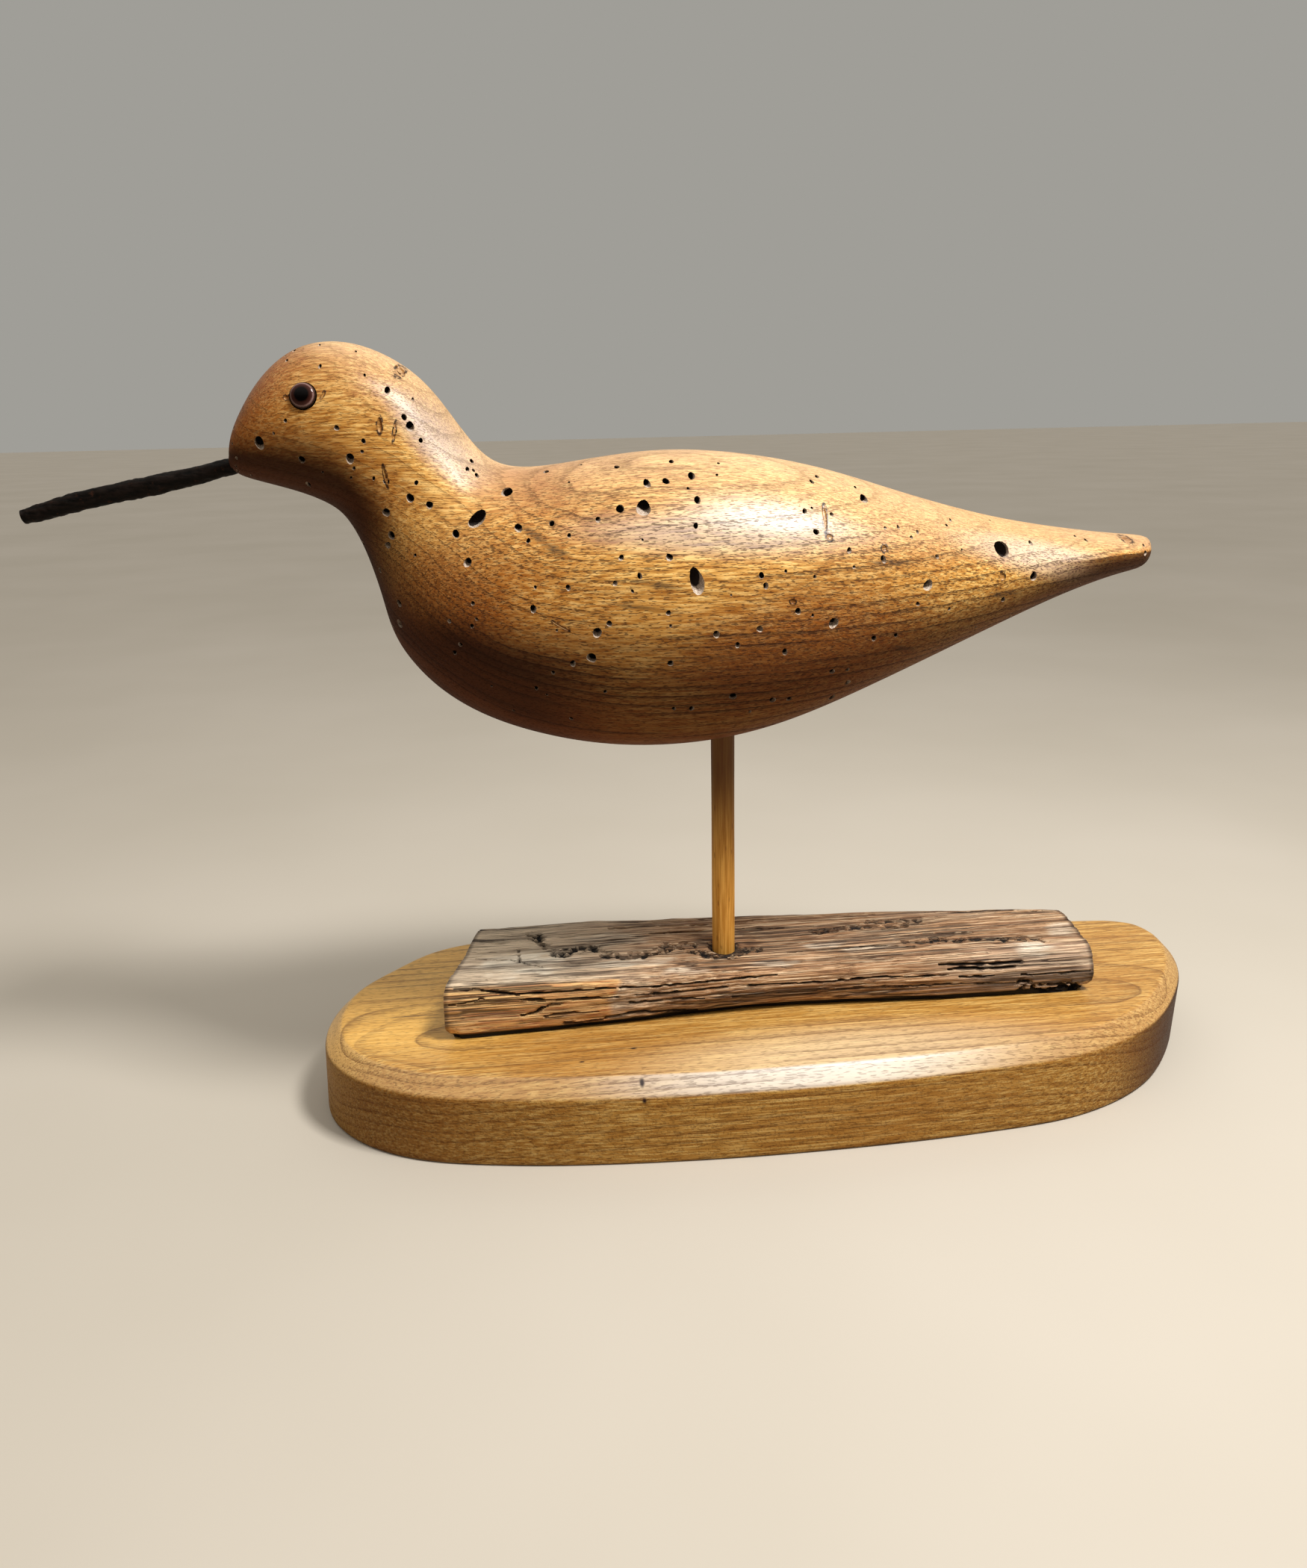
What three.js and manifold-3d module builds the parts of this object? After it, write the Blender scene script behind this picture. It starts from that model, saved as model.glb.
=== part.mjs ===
// A carved shorebird decoy on its stand: the bird stands on one dowel leg, the leg is let into a
// piece of driftwood, and the driftwood lies on a bevelled oval board.
// Millimetres. +Z is up, the bird looks along -X, and the origin is the middle of the board's underside.

import * as THREE from 'three';
import { mergeVertices } from 'three/addons/utils/BufferGeometryUtils.js';
import Module from 'manifold-3d';

const wasm = await Module();
wasm.setup();

// The oval board
const BASE_LENGTH = 324;
const BASE_WIDTH = 124;
const BASE_THICKNESS = 29.5;
const BASE_BEVEL = 5.5;
const BASE_FOOT_ROUND = 1.6;
const BASE_SAW_LEAN = 1.3;

// The piece of driftwood on the board
const DRIFT_LENGTH = 223;
const DRIFT_WIDTH = 55;
const DRIFT_HEIGHT = 20;
const DRIFT_GROOVE_DEPTH = 0.45;
const DRIFT_BEHIND_MIDDLE = -1;

// The dowel leg
const LEG_DIAMETER = 8;
const BELLY_ABOVE_DRIFT = 77.4;
const LEG_IN_BIRD = 24;
const LEG_IN_DRIFT = 12;
const LEG_BEHIND_MIDDLE = -20;
const LEG_TO_FRONT = -2.5;

// The bird, its bill and its eyes
const BIRD_LENGTH = 299;
const BILL_SHOWING = 62.5;
const BILL_IN_FACE = 15;
const BILL_DIAMETER = 5.7;
const EYE_DIAMETER = 7.6;
const EYE_DOME = 1.7;
const EYE_STEM = 3.5;
const WORMHOLE_DEPTH = 4.5;

// Room left between pieces that touch
const FIT_GAP = 0.3;

// How finely the free forms are faceted
const BASE_STEPS = 80;
const BASE_ROUND_STEPS = 3;
const BIRD_STEPS = 34;
const BIRD_RINGS_PER_STATION = 3;
const DRIFT_STEPS = 32;
const DRIFT_UNDER_STEPS = 4;
const DRIFT_RINGS = 26;
const BILL_STEPS = 12;
const BILL_RINGS = 14;
const DOWEL_STEPS = 24;
const EYE_STEPS = 18;
const EYE_DOME_STEPS = 5;
const WORMHOLE_STEPS = 7;

// Shared shape helpers
const UPWARD = new THREE.Vector3(0, 0, 1);

// Skins closed rings, one after the other, and closes both ends with a fan round each end's middle.
function loft(rings) {
  const around = rings[0].length;
  const points = rings.flat();
  const middle = (ring) => ring.reduce((sum, p) => sum.add(p), new THREE.Vector3())
    .divideScalar(ring.length);
  const firstMiddle = points.push(middle(rings[0])) - 1;
  const lastMiddle = points.push(middle(rings.at(-1))) - 1;
  const faces = [];
  for (let r = 0; r < rings.length - 1; r++) {
    for (let i = 0; i < around; i++) {
      const j = (i + 1) % around;
      const a = r * around + i;
      const b = r * around + j;
      faces.push(a, b, b + around, a, b + around, a + around);
    }
  }
  const last = (rings.length - 1) * around;
  for (let i = 0; i < around; i++) {
    const j = (i + 1) % around;
    faces.push(firstMiddle, j, i, lastMiddle, last + i, last + j);
  }
  const geometry = new THREE.BufferGeometry();
  const numbers = points.flatMap((p) => [p.x, p.y, p.z]);
  geometry.setAttribute('position', new THREE.Float32BufferAttribute(numbers, 3));
  geometry.setIndex(faces);
  return geometry;
}

function toSolid(geometry) {
  const bare = geometry.clone();
  bare.deleteAttribute('normal');
  bare.deleteAttribute('uv');
  const merged = mergeVertices(bare, 1e-4);
  return new wasm.Manifold(new wasm.Mesh({
    numProp: 3,
    vertProperties: new Float32Array(merged.attributes.position.array),
    triVerts: new Uint32Array(merged.index.array),
  }));
}

function toGeometry(solid) {
  const mesh = solid.getMesh();
  const geometry = new THREE.BufferGeometry();
  geometry.setAttribute('position', new THREE.BufferAttribute(new Float32Array(mesh.vertProperties), 3));
  geometry.setIndex(new THREE.BufferAttribute(new Uint32Array(mesh.triVerts), 1));
  return geometry;
}

function cut(geometry, cutters) {
  let solid = toSolid(geometry);
  for (const cutter of cutters) solid = solid.subtract(toSolid(cutter));
  return toGeometry(solid);
}

function piece(name, geometry, color, roughness) {
  const flat = geometry.clone();
  flat.computeVertexNormals();
  const mesh = new THREE.Mesh(flat, new THREE.MeshStandardMaterial({ color, roughness, metalness: 0 }));
  mesh.name = name;
  return mesh;
}

// A round bar whose middle is moved to a point and whose length runs along a direction.
function roundBar(radius, length, steps, middle, along) {
  const bar = new THREE.CylinderGeometry(radius, radius, length, steps);
  const turn = new THREE.Quaternion().setFromUnitVectors(new THREE.Vector3(0, 1, 0), along);
  return bar.applyQuaternion(turn).translate(middle.x, middle.y, middle.z);
}

// A smooth line through rows of numbers, read at a place counted in rows.
function rowReader(rows) {
  const tracks = rows[0].map((_, k) => rows.map((row) => row[k]));
  const within = (k) => THREE.MathUtils.clamp(k, 0, rows.length - 1);
  return (place) => {
    const i = THREE.MathUtils.clamp(Math.floor(place), 0, rows.length - 2);
    const t = place - i;
    return tracks.map((track) => {
      const [a, b, c, d] = [i - 1, i, i + 1, i + 2].map((k) => track[within(k)]);
      const curve = 2 * a - 5 * b + 4 * c - d + t * (3 * (b - c) + d - a);
      return b + 0.5 * t * (c - a + t * curve);
    });
  };
}

// The board: an oval sawn by hand, so its four corners are all different, and its sides lean a little
// to the left towards the foot, as a saw blade that isn't quite square leaves them.
// Each point is a share of half the length and half the width, going round from the right end.
const BASE_OUTLINE = [
  [1.0, 0.36], [0.978, 0.56], [0.92, 0.665], [0.8, 0.715], [0.4, 0.83], [0.0, 0.92], [-0.4, 0.985],
  [-0.68, 0.985], [-0.8, 0.87], [-0.895, 0.63], [-0.97, 0.36], [-1.0, 0.02], [-0.982, -0.3],
  [-0.92, -0.55], [-0.8, -0.765], [-0.58, -0.91], [-0.15, -1.0], [0.35, -0.965], [0.6, -0.865],
  [0.78, -0.62], [0.92, -0.21], [0.982, 0.1],
];

function boardGeometry() {
  const corners = BASE_OUTLINE.map(([x, y]) => new THREE.Vector3(x * BASE_LENGTH / 2, y * BASE_WIDTH / 2, 0));
  const outline = new THREE.CatmullRomCurve3(corners, true, 'centripetal').getSpacedPoints(BASE_STEPS);
  outline.pop();
  const inset = (amount, height) => outline.map((p, i) => {
    const before = outline.at(i - 1);
    const after = outline[(i + 1) % outline.length];
    const along = after.clone().sub(before).normalize();
    const lean = BASE_SAW_LEAN * (1 - height / BASE_THICKNESS);
    return new THREE.Vector3(p.x - along.y * amount - lean, p.y + along.x * amount, height);
  });
  const rings = [];
  for (let i = 0; i <= BASE_ROUND_STEPS; i++) {
    const turn = i / BASE_ROUND_STEPS * Math.PI / 2;
    rings.push(inset(BASE_FOOT_ROUND * (1 - Math.sin(turn)), BASE_FOOT_ROUND * (1 - Math.cos(turn))));
  }
  rings.push(inset(0, BASE_THICKNESS - BASE_BEVEL));
  rings.push(inset(BASE_BEVEL, BASE_THICKNESS));
  return loft(rings);
}

// The driftwood: a slab split from a branch, flat underneath, with sawn ends and a worn front.
// Each row is one slice: its place along the length, how much its ends slant, then around the slice
// the front foot, the front bulge and its height, the front top edge and its height, the crest and its
// height, the back top edge and its height, and the back foot. Places are shares of the width, heights
// are shares of the height.
const DRIFT_SLICES = [
  [-0.5, 0.25, -0.455, -0.455, 0.45, -0.42, 0.90, 0.0, 0.96, 0.40, 1.0, 0.50],
  [-0.27, 0.05, -0.400, -0.430, 0.45, -0.41, 0.84, 0.0, 0.95, 0.41, 1.0, 0.52],
  [0.0, 0.0, -0.315, -0.370, 0.45, -0.33, 0.78, 0.0, 0.90, 0.36, 0.97, 0.47],
  [0.25, 0.0, -0.375, -0.410, 0.45, -0.36, 0.78, 0.0, 0.92, 0.29, 0.94, 0.40],
  [0.5, 0.0, -0.405, -0.415, 0.40, -0.35, 0.76, -0.18, 0.89, 0.20, 0.90, 0.31],
];
const driftRow = rowReader(DRIFT_SLICES);
const driftPlace = (share) => (share + 0.5) * (DRIFT_SLICES.length - 1);

function driftRing(place) {
  const [along, slant, frontFoot, bulge, bulgeUp, frontTop, frontTopUp, crest, crestUp, backTop, backTopUp,
    backFoot] = driftRow(place);
  const backFootEnd = backFoot * 0.95;
  const side = (y, z) => new THREE.Vector3(0, y * DRIFT_WIDTH, z * DRIFT_HEIGHT);
  const shape = new THREE.CatmullRomCurve3([
    side(frontFoot, 0), side(bulge, bulgeUp), side(frontTop, frontTopUp), side(crest, crestUp),
    side(backTop, backTopUp), side(backFoot, 0.45), side(backFootEnd, 0),
  ], false, 'centripetal');
  const overPoints = shape.getSpacedPoints(DRIFT_STEPS - DRIFT_UNDER_STEPS - 1);
  const points = overPoints.map((p, i) => {
    const clearOfFoot = Math.sin(Math.PI * i / (overPoints.length - 1));
    const grain = Math.cos(i * 2.4 + 1.5 * Math.sin(along * 9)) + Math.cos(i * 1.1 + along * 5);
    return new THREE.Vector3(0, p.y, p.z - DRIFT_GROOVE_DEPTH * clearOfFoot * grain);
  });
  for (let i = 1; i <= DRIFT_UNDER_STEPS; i++) {
    points.push(side(THREE.MathUtils.lerp(backFootEnd, frontFoot, i / (DRIFT_UNDER_STEPS + 1)), 0));
  }
  return points.map((p) => p.setX(along * DRIFT_LENGTH + slant * p.y));
}

function driftGeometry() {
  const rings = [];
  for (let r = 0; r < DRIFT_RINGS; r++) {
    rings.unshift(driftRing(r / (DRIFT_RINGS - 1) * (DRIFT_SLICES.length - 1)));
  }
  return loft(rings);
}

// The bird: slices through its outline, from the face to the tail.
// Each row holds shares of the bird's length: the slice's top point and bottom point (along, up), half
// its width, then how high its widest line lies and how full it is above and below that line.
// Along is counted from the leg, up from the lowest point of the belly.
const BIRD_SLICES = [
  [-0.5050, 0.3258, -0.5037, 0.3090, 0.017, 0.50, 2.0, 2.0],
  [-0.5007, 0.3425, -0.4970, 0.3027, 0.035, 0.50, 2.1, 2.1],
  [-0.4896, 0.3649, -0.4783, 0.2963, 0.052, 0.50, 2.1, 2.1],
  [-0.4649, 0.3993, -0.4421, 0.2856, 0.065, 0.50, 2.1, 2.1],
  [-0.4268, 0.4264, -0.4151, 0.2742, 0.072, 0.50, 2.1, 2.1],
  [-0.3799, 0.4301, -0.3957, 0.2599, 0.074, 0.50, 2.1, 2.1],
  [-0.3355, 0.4130, -0.3816, 0.2324, 0.073, 0.50, 2.1, 2.1],
  [-0.3010, 0.3853, -0.3722, 0.2027, 0.075, 0.50, 2.1, 2.1],
  [-0.2709, 0.3418, -0.3649, 0.1729, 0.083, 0.50, 2.1, 2.1],
  [-0.2425, 0.3094, -0.3575, 0.1391, 0.097, 0.50, 2.1, 2.1],
  [-0.2007, 0.3027, -0.3401, 0.1057, 0.114, 0.50, 2.1, 2.1],
  [-0.1405, 0.3104, -0.3023, 0.0652, 0.129, 0.50, 2.1, 2.1],
  [-0.0669, 0.3181, -0.2341, 0.0278, 0.140, 0.50, 2.1, 2.1],
  [0.0167, 0.3130, -0.1171, 0.0000, 0.145, 0.50, 2.1, 2.1],
  [0.1070, 0.2957, 0.0268, 0.0077, 0.140, 0.50, 2.1, 2.1],
  [0.2007, 0.2656, 0.1645, 0.0605, 0.122, 0.50, 2.1, 2.1],
  [0.2943, 0.2391, 0.2789, 0.1094, 0.095, 0.50, 2.0, 2.0],
  [0.3746, 0.2241, 0.3696, 0.1472, 0.069, 0.50, 1.9, 2.0],
  [0.4415, 0.2151, 0.4381, 0.1686, 0.050, 0.55, 1.8, 2.0],
  [0.4726, 0.2124, 0.4700, 0.1749, 0.038, 0.56, 1.8, 2.1],
  [0.4826, 0.2096, 0.4794, 0.1822, 0.019, 0.55, 1.8, 2.1],
];
const birdRow = rowReader(BIRD_SLICES);

function birdPoint(place, turn) {
  const [topAlong, topUp, lowAlong, lowUp, wide, widestUp, above, below] = birdRow(place);
  const c = Math.cos(turn);
  const fullness = c >= 0 ? above : below;
  const rise = Math.sign(c) * Math.abs(c) ** (2 / fullness);
  const out = Math.sign(Math.sin(turn)) * Math.abs(Math.sin(turn)) ** (2 / fullness);
  const share = rise >= 0 ? widestUp + (1 - widestUp) * rise : widestUp + widestUp * rise;
  return new THREE.Vector3(
    THREE.MathUtils.lerp(lowAlong, topAlong, share),
    -wide * out,
    THREE.MathUtils.lerp(lowUp, topUp, share),
  ).multiplyScalar(BIRD_LENGTH);
}

function birdRings() {
  const count = (BIRD_SLICES.length - 1) * BIRD_RINGS_PER_STATION + 1;
  const rings = [];
  for (let r = 0; r < count; r++) {
    const ring = [];
    for (let i = 0; i < BIRD_STEPS; i++) {
      ring.push(birdPoint(r / BIRD_RINGS_PER_STATION, i / BIRD_STEPS * 2 * Math.PI));
    }
    rings.push(ring);
  }
  return rings;
}

// Every place on one flank, so that a hole or an eye can be put where the side view shows it.
const flank = [];
const FLANK_PLACES_PER_STATION = 12;
const FLANK_TURNS = 60;
for (let r = 0; r <= (BIRD_SLICES.length - 1) * FLANK_PLACES_PER_STATION; r++) {
  for (let i = 1; i < FLANK_TURNS; i++) {
    const place = r / FLANK_PLACES_PER_STATION;
    const turn = i / FLANK_TURNS * Math.PI;
    flank.push({ place, turn, point: birdPoint(place, turn) });
  }
}

// The skin point and its outward direction for a place in the side view, along and up as shares of
// the bird's length. Side -1 is the flank that faces -Y.
function birdSkin(along, up, side) {
  const miss = ({ point }) => Math.hypot(point.x - along * BIRD_LENGTH, point.z - up * BIRD_LENGTH);
  const { place, turn, point } = flank.reduce((best, spot) => (miss(spot) < miss(best) ? spot : best));
  const step = 0.02;
  const alongSkin = birdPoint(place + step, turn).sub(birdPoint(place - step, turn));
  const roundSkin = birdPoint(place, turn + step).sub(birdPoint(place, turn - step));
  const out = alongSkin.cross(roundSkin).normalize();
  if (out.y > 0) out.negate();
  const mirror = new THREE.Vector3(1, -side, 1);
  return { point: point.clone().multiply(mirror), out: out.multiply(mirror) };
}

// The largest of the wormholes in the wood: along, up and width in millimetres.
const WORMHOLES_LEFT = [
  [0.286, 0.210, 4.1], [-0.049, 0.196, 3.6], [-0.094, 0.265, 3.5], [-0.257, 0.258, 3.3],
  [-0.228, 0.283, 3.1], [-0.465, 0.335, 2.5], [0.190, 0.183, 2.5], [-0.146, 0.146, 2.4],
  [0.094, 0.148, 2.4], [-0.318, 0.346, 2.3], [-0.379, 0.319, 2.2], [0.320, 0.182, 2.2],
  [-0.346, 0.154, 2.1], [0.136, 0.265, 2.1], [-0.346, 0.267, 2.0], [-0.220, 0.250, 2.0],
  [-0.271, 0.217, 2.0], [-0.044, 0.295, 2.0], [-0.008, 0.078, 2.0],
];
const WORMHOLES_RIGHT = [
  [0.210, 0.225, 3.4], [0.050, 0.245, 3.0], [-0.120, 0.200, 3.6], [-0.240, 0.250, 2.6],
  [-0.300, 0.300, 2.4], [-0.370, 0.360, 2.2], [0.130, 0.150, 2.5], [-0.050, 0.100, 2.4],
  [-0.200, 0.130, 2.8], [0.300, 0.190, 2.2], [-0.150, 0.280, 2.3], [-0.320, 0.180, 2.0],
];

function wormholes(list, side) {
  return list.map(([along, up, width]) => {
    const { point, out } = birdSkin(along, up, side);
    const middle = point.clone().addScaledVector(out, (width - WORMHOLE_DEPTH) / 2);
    return roundBar(width / 2, WORMHOLE_DEPTH + width, WORMHOLE_STEPS, middle, out);
  });
}

// The bill: a curved twig. Each row is a share of its showing length along its line from the face,
// its rise above the face's hole in the same share, and its thickness as a share of the diameter.
const BILL_ROOT_ALONG = -0.5085;
const BILL_ROOT_UP = 0.3110;
const BILL_ROWS = [
  [-0.5, 0.110, 0.90], [-0.2, 0.044, 0.92], [0.0, 0.0, 0.92], [0.19, -0.041, 0.96], [0.38, -0.078, 1.03],
  [0.56, -0.110, 1.0], [0.74, -0.148, 0.98], [0.9, -0.188, 0.96], [1.0, -0.213, 0.80],
];
const billRow = rowReader(BILL_ROWS);
const BILL_DEEPEST = -BILL_IN_FACE / BILL_SHOWING;
const ROWS_AHEAD_FOR_SLOPE = 0.01;

function billRing(place, swell) {
  const [x, z, thick] = billRow(place);
  const [x2, z2] = billRow(place + ROWS_AHEAD_FOR_SLOPE);
  const slope = Math.atan2(z2 - z, x2 - x);
  const ring = [];
  for (let i = 0; i < BILL_STEPS; i++) {
    const turn = i / BILL_STEPS * 2 * Math.PI;
    const knobbly = 1 + 0.05 * Math.sin(2 * turn + 3 * place) + 0.04 * Math.sin(3 * turn - 5 * place);
    const radius = BILL_DIAMETER / 2 * thick * knobbly + swell;
    const rise = Math.cos(turn) * radius;
    ring.push(new THREE.Vector3(
      -x * BILL_SHOWING + rise * Math.sin(slope),
      Math.sin(turn) * radius,
      z * BILL_SHOWING + rise * Math.cos(slope),
    ));
  }
  return ring;
}

// A stretch of the twig, or of the hole it sits in when it is swollen by the fit gap.
function billGeometry(fromShare, toShare, swell, ringCount) {
  const placeOf = (share) => {
    const i = BILL_ROWS.findIndex((row, k) => k > 0 && share <= row[0]);
    const [a] = BILL_ROWS[i - 1];
    const [b] = BILL_ROWS[i];
    return i - 1 + (share - a) / (b - a);
  };
  const first = placeOf(fromShare);
  const last = placeOf(toShare);
  const rings = [];
  for (let r = 0; r < ringCount; r++) {
    rings.push(billRing(THREE.MathUtils.lerp(first, last, r / (ringCount - 1)), swell));
  }
  return loft(rings).translate(BILL_ROOT_ALONG * BIRD_LENGTH, 0, BILL_ROOT_UP * BIRD_LENGTH);
}

// The eyes: a glass dome on a short stem, set square to the skin of the head.
const EYE_ALONG = -0.418;
const EYE_UP = 0.3775;

function eyeSeat(side) {
  const { point, out } = birdSkin(EYE_ALONG, EYE_UP, side);
  const turn = new THREE.Quaternion().setFromUnitVectors(new THREE.Vector3(0, 1, 0), out);
  return { point, out, turn };
}

function eyeGeometry(side) {
  const radius = EYE_DIAMETER / 2;
  const profile = [new THREE.Vector2(0, -EYE_STEM), new THREE.Vector2(radius, -EYE_STEM)];
  for (let i = 0; i < EYE_DOME_STEPS; i++) {
    const turn = i / EYE_DOME_STEPS * Math.PI / 2;
    profile.push(new THREE.Vector2(radius * Math.cos(turn), EYE_DOME * Math.sin(turn)));
  }
  profile.push(new THREE.Vector2(0, EYE_DOME));
  const seat = eyeSeat(side);
  const geometry = new THREE.LatheGeometry(profile, EYE_STEPS);
  return geometry.applyQuaternion(seat.turn).translate(seat.point.x, seat.point.y, seat.point.z);
}

function eyeHole(side) {
  const { point, out } = eyeSeat(side);
  const depth = EYE_STEM + FIT_GAP;
  const middle = point.clone().addScaledVector(out, (EYE_DIAMETER - depth) / 2);
  return roundBar(EYE_DIAMETER / 2 + FIT_GAP, depth + EYE_DIAMETER, EYE_STEPS, middle, out);
}

// Where the leg stands and how high the belly is above the table
const CREST_COLUMN = 8;
const driftShareAtLeg = (LEG_BEHIND_MIDDLE - DRIFT_BEHIND_MIDDLE) / DRIFT_LENGTH;
const driftTopAtLeg = driftRow(driftPlace(driftShareAtLeg))[CREST_COLUMN] * DRIFT_HEIGHT;
const driftFoot = BASE_THICKNESS + FIT_GAP;
const bellyHeight = driftFoot + driftTopAtLeg + BELLY_ABOVE_DRIFT;
const legAxis = new THREE.Vector3(LEG_BEHIND_MIDDLE, LEG_TO_FRONT, 0);

function legHole(bottom, top) {
  const middle = new THREE.Vector3(0, 0, (bottom + top) / 2);
  return roundBar(LEG_DIAMETER / 2 + FIT_GAP, top - bottom, DOWEL_STEPS, middle, UPWARD);
}

const decoy = new THREE.Group();

const bird = new THREE.Group();
bird.position.set(legAxis.x, legAxis.y, bellyHeight);
const birdBody = cut(loft(birdRings()), [
  legHole(-2 * LEG_DIAMETER, LEG_IN_BIRD + FIT_GAP),
  billGeometry(BILL_DEEPEST - FIT_GAP / BILL_SHOWING, 0.4, FIT_GAP, 6),
  eyeHole(-1),
  eyeHole(1),
  ...wormholes(WORMHOLES_LEFT, -1),
  ...wormholes(WORMHOLES_RIGHT, 1),
]);
bird.add(piece('bird', birdBody, 0xb5793f, 0.45));
bird.add(piece('bill', billGeometry(BILL_DEEPEST, 1, 0, BILL_RINGS), 0x1e1714, 0.8));
bird.add(piece('eye_left', eyeGeometry(-1), 0x2a1409, 0.05));
bird.add(piece('eye_right', eyeGeometry(1), 0x2a1409, 0.05));
decoy.add(bird);

const legBottom = driftFoot + driftTopAtLeg - LEG_IN_DRIFT;
const legTop = bellyHeight + LEG_IN_BIRD;
const leg = roundBar(LEG_DIAMETER / 2, legTop - legBottom, DOWEL_STEPS,
  new THREE.Vector3(legAxis.x, legAxis.y, (legTop + legBottom) / 2), UPWARD);
decoy.add(piece('leg', leg, 0xc07f42, 0.6));

const driftwood = new THREE.Group();
driftwood.position.set(DRIFT_BEHIND_MIDDLE, 0, driftFoot);
const driftHole = legHole(legBottom - FIT_GAP - driftFoot, 3 * DRIFT_HEIGHT)
  .translate(legAxis.x - DRIFT_BEHIND_MIDDLE, legAxis.y, 0);
driftwood.add(piece('driftwood', cut(driftGeometry(), [driftHole]), 0x6b5340, 0.9));
decoy.add(driftwood);

decoy.add(piece('base', boardGeometry(), 0xb98a55, 0.45));

export default decoy;
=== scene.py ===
# %% [markdown]
# The model is a carved shorebird decoy. The bird stands on one dowel leg, the leg is let into a
# piece of driftwood, and the driftwood lies on a bevelled oval board. The solids come packed from
# the CAD step. This notebook dresses them: it rebuilds each free form as a finer mesh in the same
# place, and paints every surface with a procedural finish.

import math

import bpy
import numpy as np
from mathutils import Matrix, Vector


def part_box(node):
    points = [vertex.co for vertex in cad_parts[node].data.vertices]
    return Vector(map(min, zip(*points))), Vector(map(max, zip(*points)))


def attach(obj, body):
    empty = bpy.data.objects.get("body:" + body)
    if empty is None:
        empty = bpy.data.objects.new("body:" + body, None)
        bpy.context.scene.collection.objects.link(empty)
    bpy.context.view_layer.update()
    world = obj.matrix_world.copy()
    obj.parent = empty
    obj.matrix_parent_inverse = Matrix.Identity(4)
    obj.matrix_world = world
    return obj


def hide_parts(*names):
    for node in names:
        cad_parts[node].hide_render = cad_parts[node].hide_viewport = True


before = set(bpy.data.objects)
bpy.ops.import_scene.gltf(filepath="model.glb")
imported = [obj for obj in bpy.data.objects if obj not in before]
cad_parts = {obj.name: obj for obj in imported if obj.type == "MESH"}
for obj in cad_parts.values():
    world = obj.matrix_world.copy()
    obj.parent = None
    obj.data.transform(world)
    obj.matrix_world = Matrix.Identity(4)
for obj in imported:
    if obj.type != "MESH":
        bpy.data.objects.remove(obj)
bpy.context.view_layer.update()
print("solids:", sorted(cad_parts))

# %% [markdown]
# Drawings for a carving are in millimetres and Blender counts in metres, so every list of points
# below is in millimetres and is scaled once, where it becomes a mesh. Each form is a stack of closed
# rings with the same number of points: a bird, a twig, a dowel and a board can all be read as slices.
# A block with modifiers could look similar, but slices keep to the measured outline.

# %% Rings of points become a mesh
MM = 0.001


def make_piece(name, points, faces, finishes):
    """An object with smooth faces from points in millimetres."""
    mesh = bpy.data.meshes.new(name)
    mesh.from_pydata((np.asarray(points) * MM).tolist(), [], faces)
    mesh.shade_smooth()
    for finish in finishes:
        mesh.materials.append(finish)
    piece = bpy.data.objects.new(name, mesh)
    bpy.context.scene.collection.objects.link(piece)
    return piece


def skin(rings):
    """Joins rings of points into one closed surface, with a fan at each end."""
    rings = np.asarray(rings, float)
    count, around = rings.shape[:2]
    points = np.vstack([rings.reshape(-1, 3), [rings[0].mean(0)], [rings[-1].mean(0)]])
    here = np.arange(around)
    after = (here + 1) % around
    low = np.arange(count - 1)[:, None] * around
    quads = np.stack([low + here, low + after, low + after + around, low + here + around], -1)
    first = count * around
    top = (count - 1) * around
    fans = [(first, b, a) for a, b in zip(here.tolist(), after.tolist())]
    fans += [(first + 1, top + a, top + b) for a, b in zip(here.tolist(), after.tolist())]
    return points, quads.reshape(-1, 4).tolist() + fans


# %% [markdown]
# A smooth line runs through a few rows of numbers, as a carver bends a batten through pencil marks. Marks
# at even distances are joined with a plain cubic. Marks at uneven distances need their distances counted,
# and the power does that. A bent batten has no kinks in its curvature, and softening the rows afterwards
# brings that back, which matters for the shine on a polished flank.

# %% Smooth lines
def through(rows, steps, closed=False, power=0.0):
    """A cubic line through rows of numbers, read a number of times from each row to the next."""
    rows = np.asarray(rows, float)
    spans = len(rows) if closed else len(rows) - 1
    if closed:
        line = np.vstack([rows[-1:], rows, rows[:2]])
    elif power:
        line = np.vstack([2 * rows[:1] - rows[1:2], rows, 2 * rows[-1:] - rows[-2:-1]])
    else:
        line = np.vstack([rows[:1], rows, rows[-1:]])
    place = np.arange(spans * steps + (not closed)) / steps
    i = np.minimum(place.astype(int), spans - 1)
    t = (place - i)[:, None]
    a, b, c, d = (line[i + k] for k in range(4))
    gap = [np.linalg.norm(q - p, axis=1)[:, None] ** power for p, q in ((a, b), (b, c), (c, d))]
    leave = gap[1] * ((b - a) / gap[0] - (c - a) / (gap[0] + gap[1])) + c - b
    arrive = gap[1] * ((d - c) / gap[2] - (d - b) / (gap[1] + gap[2])) + c - b
    return (b * (1 + 2 * t) * (1 - t) ** 2 + leave * t * (1 - t) ** 2
            + c * t ** 2 * (3 - 2 * t) - arrive * t ** 2 * (1 - t))


def evenly(line, count):
    """The same line as a number of points at equal distances."""
    along = np.concatenate([[0], np.cumsum(np.linalg.norm(np.diff(line, axis=0), axis=1))])
    places = np.linspace(0, along[-1], count)
    return np.stack([np.interp(places, along, column) for column in line.T], -1)


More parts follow.
